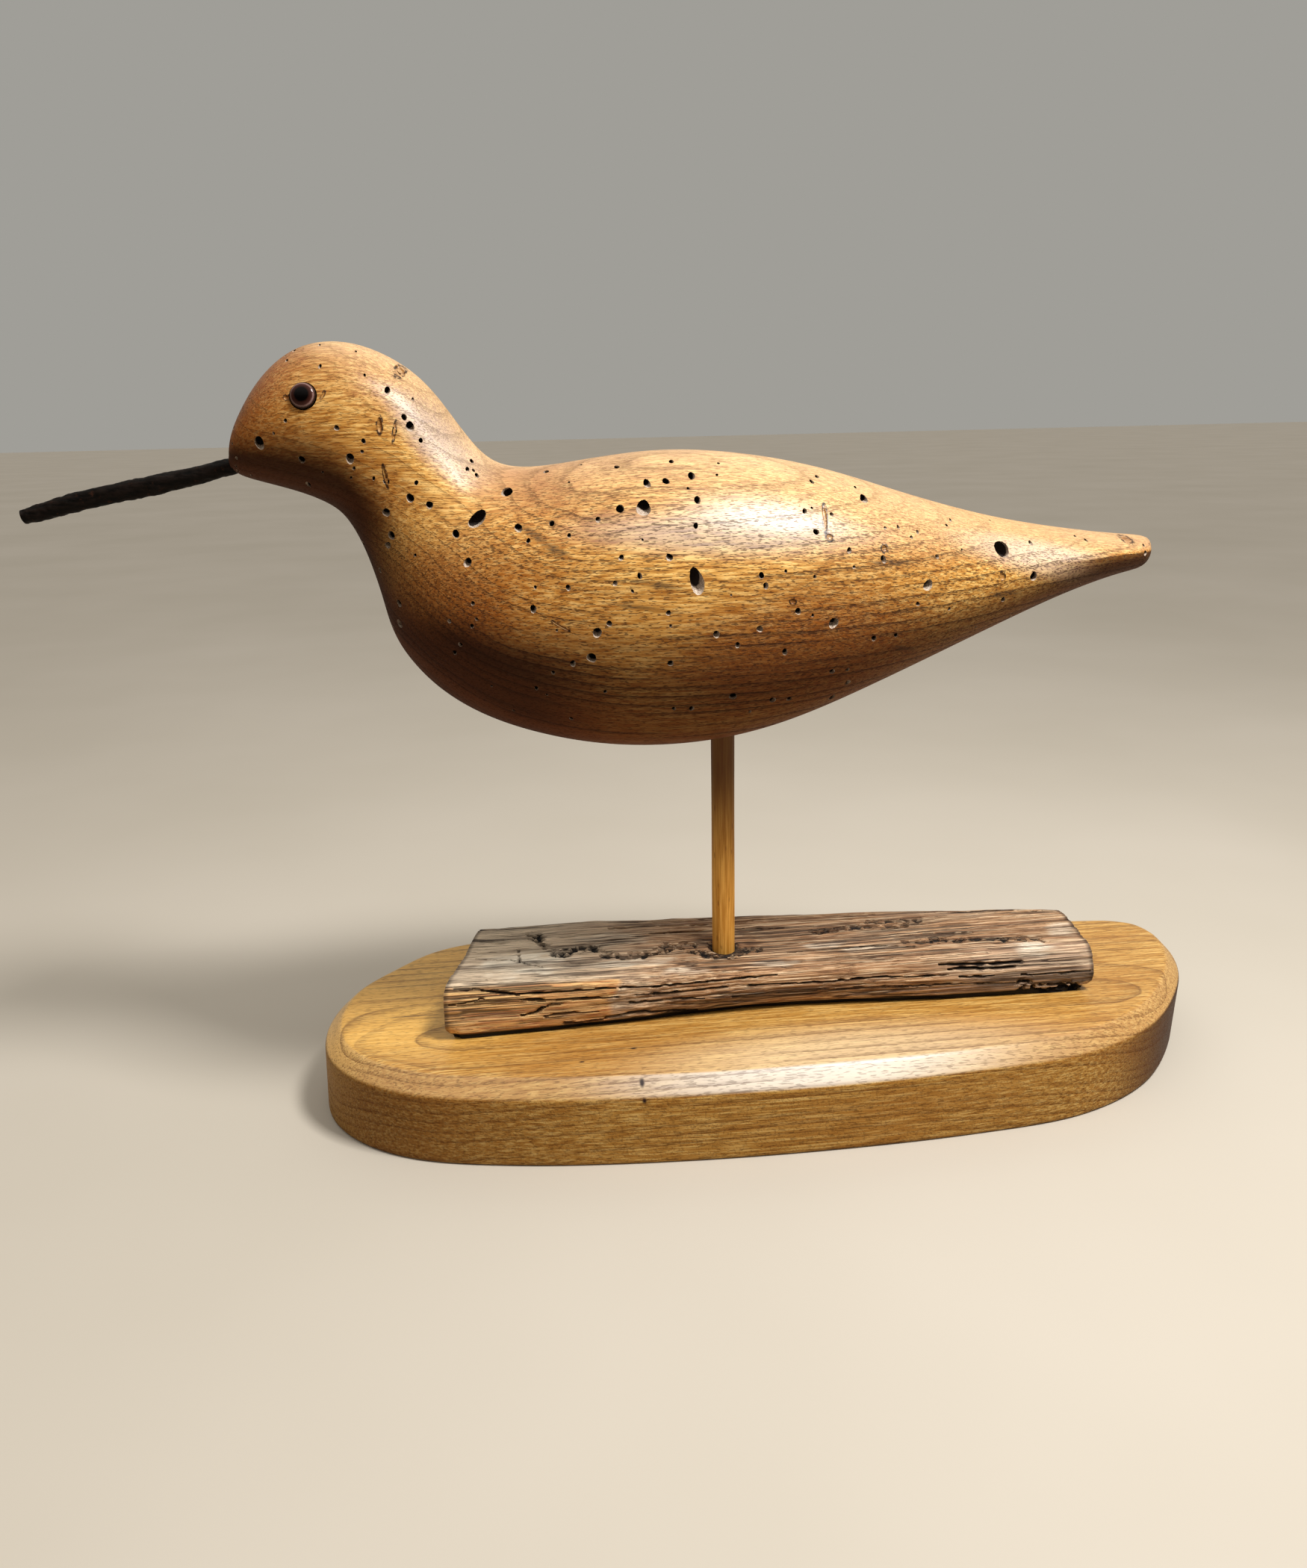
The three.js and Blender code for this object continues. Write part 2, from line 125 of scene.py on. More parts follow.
def soften(rows, width):
    """Averages each row with its neighbours, and leaves both end rows where they are."""
    reach = int(3 * width) + 1
    weight = np.exp(-0.5 * (np.arange(-reach, reach + 1) / width) ** 2)
    before = 2 * rows[:1] - rows[reach:0:-1]
    after = 2 * rows[-1:] - rows[-2:-reach - 2:-1]
    longer = np.vstack([before, rows, after])
    return np.stack([np.convolve(column, weight / weight.sum(), "valid") for column in longer.T], -1)


# %% [markdown]
# Weathered wood and bark need random hills and valleys. Blender's displacement textures could make them,
# but then nothing else would know how deep a groove is. Here a table of seeded random numbers is read
# smoothly between its entries, so the same heights can shape the mesh and paint shade into its hollows.

# %% Random hills
def hills(across, up, seed, wrap=None):
    """Smooth random heights from -1 to 1, about one unit from hill to hill."""
    table = np.random.default_rng(seed).uniform(-1, 1, (256, wrap or 256))
    i, j = np.floor(across).astype(int), np.floor(up).astype(int)
    s, t = across - i, up - j
    s, t = s * s * (3 - 2 * s), t * t * (3 - 2 * t)
    rows, columns = table.shape

    def at(a, b):
        return table[a % rows, b % columns]

    low = at(i, j) * (1 - s) + at(i + 1, j) * s
    high = at(i, j + 1) * (1 - s) + at(i + 1, j + 1) * s
    return low * (1 - t) + high * t


def ease(low, high, value):
    """Rises smoothly from 0 at low to 1 at high."""
    share = np.clip((value - low) / (high - low), 0, 1)
    return share * share * (3 - 2 * share)


# %% [markdown]
# Finishes are node trees. Wiring them by hand hides the sums, so one small class wraps a socket and
# lets the sums be written as they are on paper. Numbers go through Math nodes, and vectors through
# Vector Math, because a Math node would turn them grey. Every other node comes from one method.

# %% Shader sums as expressions
class Field:
    """One socket of a finish. Sums with it add nodes to the finish's tree."""

    def __init__(self, tree, socket=None):
        self.tree = tree
        self.socket = socket

    def node(self, kind, settings=None, values=None, out=0):
        """Adds any node: its settings first, then the values or links of its sockets."""
        node = self.tree.nodes.new("ShaderNode" + kind)
        for name, setting in (settings or {}).items():
            setattr(node, name, setting)
        for name, value in (values or {}).items():
            if isinstance(value, Field):
                self.tree.links.new(value.socket, node.inputs[name])
            else:
                node.inputs[name].default_value = value
        return Field(self.tree, node.outputs[out])

    def reckon(self, operation, *parts, out=0):
        """A Math node for numbers, or a Vector Math node where a part is a vector."""
        flat = all(part.socket.type == "VALUE" for part in parts if isinstance(part, Field))
        if not flat:
            parts = [p if isinstance(p, Field) or np.ndim(p) else (p, p, p) for p in parts]
        kind = "Math" if flat else "VectorMath"
        return self.node(kind, {"operation": operation}, dict(enumerate(parts)), out)

    def __add__(self, other):
        return self.reckon("ADD", self, other)

    def __sub__(self, other):
        return self.reckon("SUBTRACT", self, other)

    def __rsub__(self, other):
        return self.reckon("SUBTRACT", other, self)

    def __mul__(self, other):
        return self.reckon("MULTIPLY", self, other)

    def __truediv__(self, other):
        return self.reckon("DIVIDE", self, other)

    def parts(self):
        """The three numbers of a vector."""
        return [self.node("SeparateXYZ", values={0: self}, out=k) for k in range(3)]

    def joined(self, *parts):
        """A vector of three numbers."""
        return self.node("CombineXYZ", values=dict(enumerate(parts)))

    def ease(self, low, high):
        """Rises smoothly from 0 at low to 1 at high."""
        values = {"Value": self, "From Min": low, "From Max": high}
        return self.node("MapRange", {"interpolation_type": "SMOOTHSTEP"}, values)

    def noise(self, scale, detail=2.0, roughness=0.5):
        """Cloudy noise from 0 to 1 at this place."""
        values = {"Vector": self, "Scale": scale, "Detail": detail, "Roughness": roughness}
        return self.node("TexNoise", values=values)

    def cells(self, scale):
        """How far this place is from the nearest of many scattered points."""
        return self.node("TexVoronoi", values={"Vector": self, "Scale": scale})

    def kept(self, name):
        """A number that the points of the mesh carry under this name."""
        return self.node("Attribute", {"attribute_name": name}, out=2)

    def reach(self, middle, size, slope=0.0):
        """From 0 at a middle to 1 at a size along each axis, tilted clockwise in the side view."""
        values = {0: self, 1: middle, 2: (0, math.radians(slope), 0), 3: size}
        near = self.node("Mapping", {"vector_type": "TEXTURE"}, values)
        return self.reckon("LENGTH", near, out=1)

    def spot(self, middle, size, slope=0.0):
        """A soft spot, from 1 at its middle to 0 at its size."""
        return self.reach(middle, size, slope).ease(1.0, 0.25)

    def spots(self, *rows):
        """A sum of soft spots, each with a strength, a middle, a size and perhaps a slope."""
        first, *others = [self.spot(*spot) * strength for strength, *spot in rows]
        for other in others:
            first = first + other
        return first

    def sheltered(self, bright, dark, light=(0.42, 0.0, 0.91)):
        """From 0 on faces that look to the light, up and to the right, to 1 on those that look away."""
        looks = self.node("NewGeometry", out=1)
        return self.reckon("DOT_PRODUCT", looks, light, out=1).ease(bright, dark)

    def ramp(self, stops):
        """A screen colour or a grey for each value of a number."""
        ramped = self.node("ValToRGB", values={0: self})
        elements = ramped.socket.node.color_ramp.elements
        elements.remove(elements[-1])
        for i, (value, colour) in enumerate(stops):
            stop = elements.new(value) if i else elements[0]
            stop.position = value
            stop.color = tone(*colour) if np.ndim(colour) else (colour, colour, colour, 1)
        return ramped

    def towards(self, colour, share):
        """This colour mixed with a screen colour or with another field."""
        other = colour if isinstance(colour, Field) else tone(*colour)
        return self.node("Mix", {"data_type": "RGBA"}, {0: share, 6: self, 7: other}, 2)


# %% [markdown]
# A tone is easiest to name as it looks on a screen, from 0 to 255, but a shader counts light. The
# tone is turned into amounts of light once, here. A finish starts as Blender's own Principled
# shader, and gets only the sockets that it needs. What is the same all over a surface is set as a
# plain number, and only what changes from place to place is linked.

# %% Tones and finishes
def tone(red, green, blue):
    """Amounts of light for a screen colour."""
    shares = [c / 255 for c in (red, green, blue)]
    return tuple(c / 12.92 if c <= 0.04045 else ((c + 0.055) / 1.055) ** 2.4 for c in shares) + (1,)


def new_finish(name):
    """An empty finish, and places on the piece in millimetres."""
    finish = bpy.data.materials.new(name)
    finish.use_nodes = True
    start = Field(finish.node_tree)
    return finish, start.node("TexCoord", out=3) * (1 / MM)


def apply_finish(finish, sockets):
    """Sets or links the Principled shader's sockets."""
    shader = finish.node_tree.nodes["Principled BSDF"]
    for name, value in sockets.items():
        if isinstance(value, Field):
            finish.node_tree.links.new(value.socket, shader.inputs[name])
        else:
            shader.inputs[name].default_value = value


def painted(colour, coats):
    """Lays coats over a colour, each with how much of it covers."""
    for coat, share in coats:
        colour = colour.towards(coat, share)
    return colour


def bump(height, distance, strength=1.0):
    """Relief too fine for the mesh. The distance is in millimetres."""
    return height.node("Bump", values={"Strength": strength, "Distance": distance * MM, "Height": height})


# %% [markdown]
# A photograph is matched by standing where its camera stood. The decoy was seen from a little above
# and left of its middle, so the view looks down by 17 degrees, and it is level within about one
# degree. The camera's place came from fitting the outline of the solids over the picture.

# %% Camera
VIEWER_AT = (-85.27, -395.13, 231.5)
LOOKING = Vector((0.0999, 0.9506, -0.2940))
VIEW_ROLL = math.radians(-1.255)
SENSOR_WIDTH = 36
LENS_PER_WIDTH = 1615 / 1750

camera = bpy.data.objects.new("camera", bpy.data.cameras.new("camera"))
camera.data.sensor_fit = "HORIZONTAL"
camera.data.sensor_width = SENSOR_WIDTH
camera.data.lens = SENSOR_WIDTH * LENS_PER_WIDTH
level_view = LOOKING.to_track_quat("-Z", "Y").to_matrix().to_4x4()
rolled = level_view @ Matrix.Rotation(VIEW_ROLL, 4, "Z")
camera.matrix_world = Matrix.Translation(Vector(VIEWER_AT) * MM) @ rolled
bpy.context.scene.collection.objects.link(camera)
bpy.context.scene.camera = camera
print("lens:", round(camera.data.lens, 2), "mm")

# %% [markdown]
# The shine on the bird's back tells where the lamp is: a mirror direction from the eye to the shine
# points up, to the right and a little to the front. One small lamp there gives the same shine and a
# shadow with an edge. A sky fills the shadows. It is palest overhead and dimmest at the front left,
# which leaves the breast brown. The colours are shown as they are, with no film look.

# %% Light, floor and sky
BIRD_MIDDLE = Vector((-20, -2, 190)) * MM
LAMP_AT = Vector((215, -230, 713)) * MM
LAMP_SIZE = 0.15
LAMP_POWER = 6.4
FLOOR_SIZE = 24
bpy.context.scene.view_settings.view_transform = "Standard"

light = bpy.data.lights.new("lamp", "AREA")
light.size = LAMP_SIZE
light.energy = LAMP_POWER
light.color = (1.0, 0.98, 0.955)
lamp = bpy.data.objects.new("lamp", light)
lamp.location = LAMP_AT
lamp.rotation_euler = (LAMP_AT - BIRD_MIDDLE).to_track_quat("Z", "Y").to_euler()
bpy.context.scene.collection.objects.link(lamp)

sky = bpy.data.worlds.new("sky")
sky.use_nodes = True
right, back, high = Field(sky.node_tree).node("TexCoord").parts()
horizon = (back + right * 0.5).ramp([(0.0, (84, 80, 74)), (0.55, (160, 158, 152))])
sky_tones = horizon.towards((255, 250, 242), high.ease(0.30, 0.95))
sky.node_tree.links.new(sky_tones.socket, sky.node_tree.nodes["Background"].inputs["Color"])
bpy.context.scene.world = sky

corner = FLOOR_SIZE / 2 / MM
floor_points = [(-corner, -corner, 0), (corner, -corner, 0), (corner, corner, 0), (-corner, corner, 0)]
floor_finish, floor_place = new_finish("pale floor")
floor_tone = floor_place.noise(0.004, 3.0).ramp([(0.3, (184, 176, 162)), (0.7, (191, 183, 170))])
apply_finish(floor_finish, {"Base Color": floor_tone, "Roughness": 0.85})
floor = make_piece("floor", floor_points, [(0, 1, 2, 3)], [floor_finish])

# %% [markdown]
# The bird and the board are of the same kind of oiled wood. A tree grows in layers, and a cut
# surface shows them as lines wherever it crosses from one layer to the next. Along the grain run
# open pores, which look like dashes on a long face and like dots where the grain meets the face end
# on. Both are made as solid patterns through the whole block, as they are in wood, so the carved
# form alone decides how they show. A flat texture wrapped round the bird could not do that.

# %% Patterns of the oiled wood
def year_lines(place, depth, gap, swing=7.0):
    """A dark line at the end of each year's layer. The lines come and go, and some years run dark."""
    broad = (place * (0.3, 1, 1)).noise(0.03, 2.0) * swing
    narrow = (place * (0.06, 1, 1)).noise(0.4, 2.0) * (swing * 0.16)
    year = (depth + (broad + narrow)) / gap
    along = place.parts()[0]
    one_year = [(0, 0), (0.5, 0.06), (0.86, 0.6), (0.93, 1), (0.985, 0.15), (1, 0)]
    edge = year.reckon("FRACT", year).ramp(one_year)
    strong = place.joined(year * 0.37, along * 0.006, 0.0).noise(1.6, 2.0).ease(0.38, 0.56)
    dark_years = place.joined(year * 0.16, along * 0.003, 7.0).noise(1.0, 2.0).ease(0.45, 0.68)
    return edge * strong, dark_years


def open_pores(fibre, edge, fineness, stretch, least):
    """Thin dark pores that run along the grain, most of them close to a dark line."""
    crowded = (fibre * (0.12, 1, 1)).noise(0.22, 2.0) * 0.12 + edge * 0.14
    return ((fibre * (stretch, 1, 1)).noise(fineness, 1.0) + crowded).ease(least, least + 0.11)


def fibres(fibre, fineness, stretch):
    """Streaks of lighter and darker fibre."""
    return (fibre * (stretch, 1, 1)).noise(fineness, 4.0, 0.62)


# %% [markdown]
# The board is a slice of plank with an oval outline sawn by hand and a planed bevel round the top.
# It could be a curve with a bevel object, but then its sides would be square. Here the outline is
# moved in by a profile of steps and heights, with small rounds at the foot and at both ridges.

# %% The board's shape
# Length, width and thickness. The first two are a hair under the solid's 324 and 124, because a
# smooth outline stands out past flat faces
BOARD_SIZE = (323.96, 123.96, 29.5)
BOARD_BEVEL = 5.5
BOARD_FOOT_ROUND = 1.6
BOARD_RIDGE_ROUND = 1.3
BOARD_RIM_ROUND = 1.6
BOARD_SAW_LEAN = 1.3
BOARD_POINTS = 520
# How deep the plane's uneven strokes are, and how many of the outline's points one takes
STROKE_DEPTH = 0.22
STROKE_POINTS = 26
BOARD_OUTLINE = [
    (1.0, 0.36), (0.978, 0.56), (0.92, 0.665), (0.8, 0.715), (0.4, 0.83), (0.0, 0.92), (-0.4, 0.985),
    (-0.68, 0.985), (-0.8, 0.87), (-0.895, 0.63), (-0.97, 0.36), (-1.0, 0.02), (-0.982, -0.3),
    (-0.92, -0.55), (-0.8, -0.765), (-0.58, -0.91), (-0.15, -1.0), (0.35, -0.965), (0.6, -0.865),
    (0.78, -0.62), (0.92, -0.21), (0.982, 0.1),
]


def unit(vectors):
    """The same directions with a length of 1."""
    return vectors / np.maximum(np.linalg.norm(vectors, axis=-1, keepdims=True), 1e-9)


def rounded_corner(before, corner, after, reach):
    """A small curve in place of a corner, from a reach before it to a reach after it."""
    before, corner, after = (np.array(p, float) for p in (before, corner, after))
    start = corner + (before - corner) * reach / np.linalg.norm(before - corner)
    end = corner + (after - corner) * reach / np.linalg.norm(after - corner)
    t = np.linspace(0, 1, 7)[:, None]
    return (1 - t) ** 2 * start + 2 * t * (1 - t) * corner + t ** 2 * end


def board_rings():
    """The outline at each height, from under the foot up the sawn edge and over the bevel."""
    loop = through(np.array(BOARD_OUTLINE) * BOARD_SIZE[:2] / 2, 30, closed=True, power=0.5)
    line = evenly(np.vstack([loop, loop[:1]]), BOARD_POINTS + 1)[:-1]
    along = np.roll(line, -1, 0) - np.roll(line, 1, 0)
    inward = unit(np.stack([-along[:, 1], along[:, 0]], -1))
    high = BOARD_SIZE[2]
    ridge, rim, flat = (0, high - BOARD_BEVEL), (BOARD_BEVEL, high), (3 * BOARD_BEVEL, high)
    foot = rounded_corner((3 * BOARD_FOOT_ROUND, 0), (0, 0), (0, 9), BOARD_FOOT_ROUND)
    steps = np.vstack([[(3 * BOARD_FOOT_ROUND, 0)], foot, [(0, 8), (0, 16)],
                       rounded_corner((0, 9), ridge, rim, BOARD_RIDGE_ROUND),
                       rounded_corner(ridge, rim, flat, BOARD_RIM_ROUND), [(BOARD_BEVEL + 3, high)]])
    strokes = hills(np.arange(BOARD_POINTS) / STROKE_POINTS, np.zeros(BOARD_POINTS), 3, 20)
    rings = []
    for inset, height in steps:
        upper = ease(high - BOARD_BEVEL - 3, high, height)
        planed = STROKE_DEPTH * upper * strokes
        lean = BOARD_SAW_LEAN * (1 - height / high)
        spot = line + inward * (inset + planed)[:, None] - (lean, 0)
        rings.append(np.column_stack([spot, np.full(BOARD_POINTS, height)]))
    return rings


# %% [markdown]
# In the plank the layers stand like nested gutters, whose lowest line runs along the board a little in
# front of its middle. So their lines run along the top, and they turn round near the ends. The varnish
# stayed on the top. The sawn edge gets painted shade, most of all at both ends, and the bevel and the front
# of the top get a painted sheen. Both could be painted onto a picture by hand; here the finish asks each
# place how far it looks upwards.

# %% The board's wood
# A knot on the bevel, then flecks and fine marks on the top
BLEMISHES = [
    (1, (-55.5, -57, 27.6), (1.2, 2.6, 2.2)), (1, (-55.2, -60.9, 23.2), (1.2, 1.8, 1.6)),
    (1, (-56.4, -38.3, 29.5), (1.6, 0.8, 1)), (1, (-73.9, -44.5, 29.5), (1.4, 0.7, 1)),
    (0.7, (-131, -4.2, 29.5), (14, 0.6, 1)), (0.49, (-127, -6.3, 29.5), (9, 0.5, 1)),
]
board_finish, place = new_finish("board wood")
x, y, z = place.parts()
past_end = x.reckon("ABSOLUTE", x).ease(112, 168) * y.ease(14, -20) * 9
squared = (y + 22) * (y + 22) + 120
gutter = squared.reckon("SQRT", squared) * 0.5
edge, dark_years = year_lines(place, gutter + past_end - z * 0.7, 2.4, 2.0)
streak = fibres(place, 1.5, 0.035)
pores = open_pores(place, edge, 2.3, 0.14, 0.62)
cloud = (place * (0.3, 1, 1)).noise(0.03, 3.0, 0.6)
side = place.sheltered(0.60, 0.25, (0.0, 0.0, 1.0))
bevel = place.sheltered(0.97, 0.86, (0.0, 0.0, 1.0)) * (1 - side)
grit = place.noise(1.3, 2.0).ease(0.50, 0.64) * side
# Painted shade on the sawn edge: a little all along, most at both ends
side_shade_strength = x.ease(-50, -152) * 0.46 + x.ease(100, 150) * 0.70 + 0.13
# Painted light on the far left of the top, where the driftwood's shadow falls
painted_light_left = x.ease(-70, -125) * y.ease(-44, -14)
# Painted sheen on the front of the top and a painted highlight on the bevel
sheen = place.spot((16, -52, 27), (96, 28, 12))
brown_patch = place.spot((-66, -40, 28), (62, 26, 14))
painted_bevel_highlight = place.spot((-4, -55, 27), (84, 24, 12)) * bevel
colour = streak.ramp([(0.36, (158, 108, 44)), (0.5, (186, 138, 66)), (0.64, (218, 178, 106))])
colour = painted(colour, [
    ((172, 116, 48), cloud.ease(0.45, 0.75) * 0.5),
    # painted light at the far left
    ((250, 196, 96), painted_light_left * 0.5),
    ((150, 90, 34), dark_years * 0.35),
    ((152, 98, 38), brown_patch * 0.34),
    # painted sheen on the top
    ((252, 232, 192), sheen * (1 - side) * 0.42),
    # painted sheen on the bevel
    ((196, 164, 122), bevel * 0.3),
    # painted highlight on the bevel
    ((226, 222, 216), painted_bevel_highlight * 0.6),
    # painted shade on the sawn edge
    ((88, 40, 8), side * side_shade_strength),
    # more painted shade at the right end of the edge
    ((48, 22, 4), side * x.ease(96, 146) * 0.85),
    ((96, 52, 16), edge * (side * x.ease(90, 140) * 0.3 + 0.5)),
    ((76, 40, 12), pores * 0.4),
    ((66, 34, 12), grit * 0.26),
    ((44, 26, 22), place.spots(*BLEMISHES)),
])
apply_finish(board_finish, {
    "Base Color": colour,
    "Roughness": streak * 0.12 + pores * 0.2 + 0.42,
    "Specular IOR Level": 0.08,
    "Coat Weight": (1 - side) * (0.7 - bevel * x.ease(10, 90) * 0.5),
    "Coat Roughness": 0.36,
    "Normal": bump(streak * 0.5 - pores - edge * 0.4 - grit * 0.8, 0.12, 0.7),
})
board = make_piece("board", *skin(board_rings()), [board_finish])
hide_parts("base")
print("board faces:", len(board.data.polygons))

# %% [markdown]
# The driftwood is a slab split from a branch: flat underneath, sawn at both ends, with a worn front
# face and a crowned top. It is lofted from five measured slices. Its relief is what makes it look
# old, so the mesh is fine enough to carry the furrows, cracks and gouges as real depth.

# %% The driftwood's slices
DRIFT_SIZE = (223, 55, 20)
DRIFT_AT = (-1, 0, 29.8)
# Points over the top and under the foot
DRIFT_OVER = 200
DRIFT_UNDER = 30
# Place along the piece, slant of the slice, then pairs of distance from the middle and height
DRIFT_SLICES = [
    (-0.5, 0.25, -0.455, -0.455, 0.45, -0.42, 0.90, 0.0, 0.96, 0.40, 1.0, 0.50),
    (-0.27, 0.05, -0.400, -0.430, 0.45, -0.41, 0.84, 0.0, 0.95, 0.41, 1.0, 0.52),
    (0.0, 0.0, -0.315, -0.370, 0.45, -0.33, 0.78, 0.0, 0.90, 0.36, 0.97, 0.47),
    (0.25, 0.0, -0.375, -0.410, 0.45, -0.36, 0.78, 0.0, 0.92, 0.29, 0.94, 0.40),
    (0.5, 0.0, -0.405, -0.415, 0.40, -0.35, 0.76, -0.18, 0.89, 0.20, 0.90, 0.31),
]


def drift_slice(row):
    """One slice of the driftwood, from the front foot over the top to the back foot and under."""
    along, slant, foot, bulge, bulge_up, front, front_up, crest, crest_up, back, back_up, heel = row
    marks = [(foot, 0), (bulge, bulge_up), (front, front_up), (crest, crest_up), (back, back_up),
             (heel, 0.45), (heel * 0.95, 0)]
    over = evenly(through(np.array(marks) * DRIFT_SIZE[1:], 24, power=0.5), DRIFT_OVER)
    under = np.linspace(over[-1], over[0], DRIFT_UNDER + 2)[1:-1]
    side = np.vstack([over, under])
    return np.column_stack([along * DRIFT_SIZE[0] + slant * side[:, 0], side]) + DRIFT_AT


drift_rows = through(DRIFT_SLICES, 90)[::-1]
drift = np.array([drift_slice(row) for row in drift_rows])
ahead = np.roll(drift, -1, 1) - np.roll(drift, 1, 1)
drift_out = unit(np.stack([0 * ahead[..., 0], -ahead[..., 2], ahead[..., 1]], -1))
step_around = np.linalg.norm(np.diff(drift, axis=1, prepend=drift[:, :1]), axis=2)
around = np.cumsum(step_around, 1)
print("driftwood rings:", drift.shape)

# %% [markdown]
# Age opens wood along the grain in long black splits, and gouges wander across the top. Both lie
# where they lie on the real piece, as lines of points, each with a width.

# %% Lines of the splits and gouges
FRONT_SPLITS = [
    ([(-115.2, 48.6), (-105.3, 47.4), (-93.9, 45.1), (-76.8, 44.8), (-60.8, 44.7)], 0.5),
    ([(-93.3, 43.0), (-85.5, 42.2), (-75.4, 41.8), (-60.1, 40.9)], 0.6),
    ([(-117, 42.6), (-112, 43.1), (-105.4, 44.4)], 0.4),
    ([(-92.9, 37), (-87.9, 37.4), (-85.6, 39.2), (-82.7, 40.1), (-79, 40.3)], 0.6),
    ([(-85, 36), (-77.2, 36.2), (-66.9, 36)], 0.4),
    ([(-78.6, 32.5), (-69.8, 32.2), (-55.1, 34.1), (-32.4, 31.9)], 0.5),
    ([(-59.2, 44.5), (-47.4, 43.8), (-40.1, 43.7), (-4.1, 43.4)], 0.5),
    ([(-54, 41.2), (-38, 40.6), (-22, 40.9)], 0.5), ([(-56, 38.1), (-40, 38.0), (-30, 37.2)], 0.5),
    ([(-14, 40.2), (12, 39.6), (30, 40.4), (57, 40.2)], 0.4),
    ([(-20, 36.6), (2, 36.2), (26, 36.6), (52, 36.0), (76, 35.4)], 0.4),
    ([(54, 43.9), (69, 43.4), (84, 43.2)], 0.8), ([(57, 42), (69, 41.7), (81, 41.4)], 0.7),
    ([(61, 38.7), (73, 38.7)], 0.5), ([(84, 38.4), (98, 38.0), (109, 38.2)], 0.4),
]
TOP_SPLITS = [
    ([(-93.3, 3.5), (-92.8, -6.6)], 0.7), ([(-30, -4), (-25, -8.6)], 0.9),
    ([(-20, -8), (-11, -4.5)], 0.9),
    ([(54.2, -3.3), (62.8, -4.3), (70.9, -4.7)], 0.6), ([(-60, 14), (-30, 13), (8, 15), (40, 14)], 0.4),
    ([(-108, -2), (-96, -4), (-84, -12)], 0.4), ([(-46, 8), (-20, 9.5), (4, 8)], 0.4),
    ([(2, -10), (30, -9), (48, -12)], 0.4), ([(60, 12), (82, 11), (104, 9)], 0.4),
]
FRONT_GOUGES = [([(84.5, 33.6), (90.4, 32.4), (104, 31.4)], 3.0)]
TOP_GOUGES = [
    ([(-87.2, 12.5), (-84, 5.2), (-78.7, -4), (-75.6, 0.8), (-67.7, 1.8), (-63.6, -3.9),
      (-54.7, -6.2), (-45.3, -4.7), (-40.3, -1.5), (-31, -0.3)], 3.2),
    ([(14.2, 3.9), (19.7, 3.4), (28.6, 5), (36.8, 5), (53.2, 4.1)], 2.0), ([(35.9, 7.9), (55.1, 7.2)], 1.6),
    ([(45, -8.6), (57, -8.8), (73.4, -9.4), (93.4, -11.3), (95.5, -13.6)], 1.6),
    ([(-34, -2), (-28, -8), (-18, -9.5), (-8, -6)], 2.6),
]

# %% [markdown]
# The splits could be cut with a boolean, like the bird's tunnels. But a split has no floor and ragged
# sides, so here each vertex asks how near it is to such a line, and the width is made uneven.

# %% Splits and gouges
def line_depth(line, width, facing, seen):
    """How deep a split is cut at each vertex, from 0 to 1. The line is drawn as seen from one side."""
    far = np.full(seen.shape[:2], 1e3)
    for start, end in zip(line[:-1], line[1:]):
        start, span = np.array(start), np.subtract(end, start)
        share = np.clip(((seen - start) @ span) / (span @ span), 0, 1)[..., None]
        far = np.minimum(far, np.linalg.norm(seen - start - share * span, axis=-1))
    return ease(width, width * 0.25, far) * facing


xs, ys, zs = drift[..., 0], drift[..., 1], drift[..., 2]
crooked = 0.35 * hills(xs / 9, around / 9, 11) + 0.22 * hills(xs / 2.3, around / 3, 12)
ragged = 1 + 0.7 * hills(xs / 3.1, around / 6, 13)
chipped = ease(-0.35, 0.1, hills(xs / 1.5, around / 0.9, 24) + 0.5 * hills(xs / 4, around / 2, 25))
from_front = ease(0.25, 0.6, -drift_out[..., 1])
from_front[:, 0] = from_front[:, 1]
from_top = ease(0.35, 0.7, drift_out[..., 2])
front_view, top_view = np.stack([xs, zs + crooked], -1), np.stack([xs, ys + crooked], -1)
splits = np.zeros(xs.shape)
for lines, facing, seen, broken in (
        (FRONT_SPLITS, from_front, front_view, 1), (FRONT_GOUGES, from_front, front_view, chipped),
        (TOP_SPLITS, from_top, top_view, 1), (TOP_GOUGES, from_top, top_view, chipped)):
    for line, width in lines:
        splits = np.maximum(splits, line_depth(line, width * ragged, facing, seen) * broken)
print("points in a split or gouge:", int((splits > 0.5).sum()))

# %% [markdown]
# Soft wood weathers away between the hard year lines, which leaves narrow furrows. Random hills that
# are long along the grain and close together across it give such valleys. Then all that is lost is
# taken off along the outward direction: furrows, splits, a ring of pits round the leg, the soft wood
# under the front foot and the corners of the sawn ends.

# %% Furrows and lost edges
# Depth, then spacing, length, seed and sharpness
FURROWS = [(0.55, (3.0, 90, 15, 0.82)), (0.50, (1.6, 80, 16, 0.74)), (0.2, (1.0, 50, 17, 0.6))]
WORN_ALL_OVER = 0.30
SPLIT_DEPTH = 1.5
DEEPEST = 3
FOOT_UNDERCUT = 1.8
END_UNDERCUT = 1.6
CORNER_LOST = 2.6
LEG_AT = (-20, -2.5)
bent = around + 0.9 * hills(xs / 60, around / 14, 14)


def furrow(spacing, length, seed, sharpness):
    """Narrow valleys along the grain, at about this spacing and length."""
    valley = 1 - np.abs(hills(xs / length, bent / spacing, seed))
    return ease(sharpness, 1, valley) * (0.5 + 0.5 * hills(xs / 31, bent / 7, seed + 50))


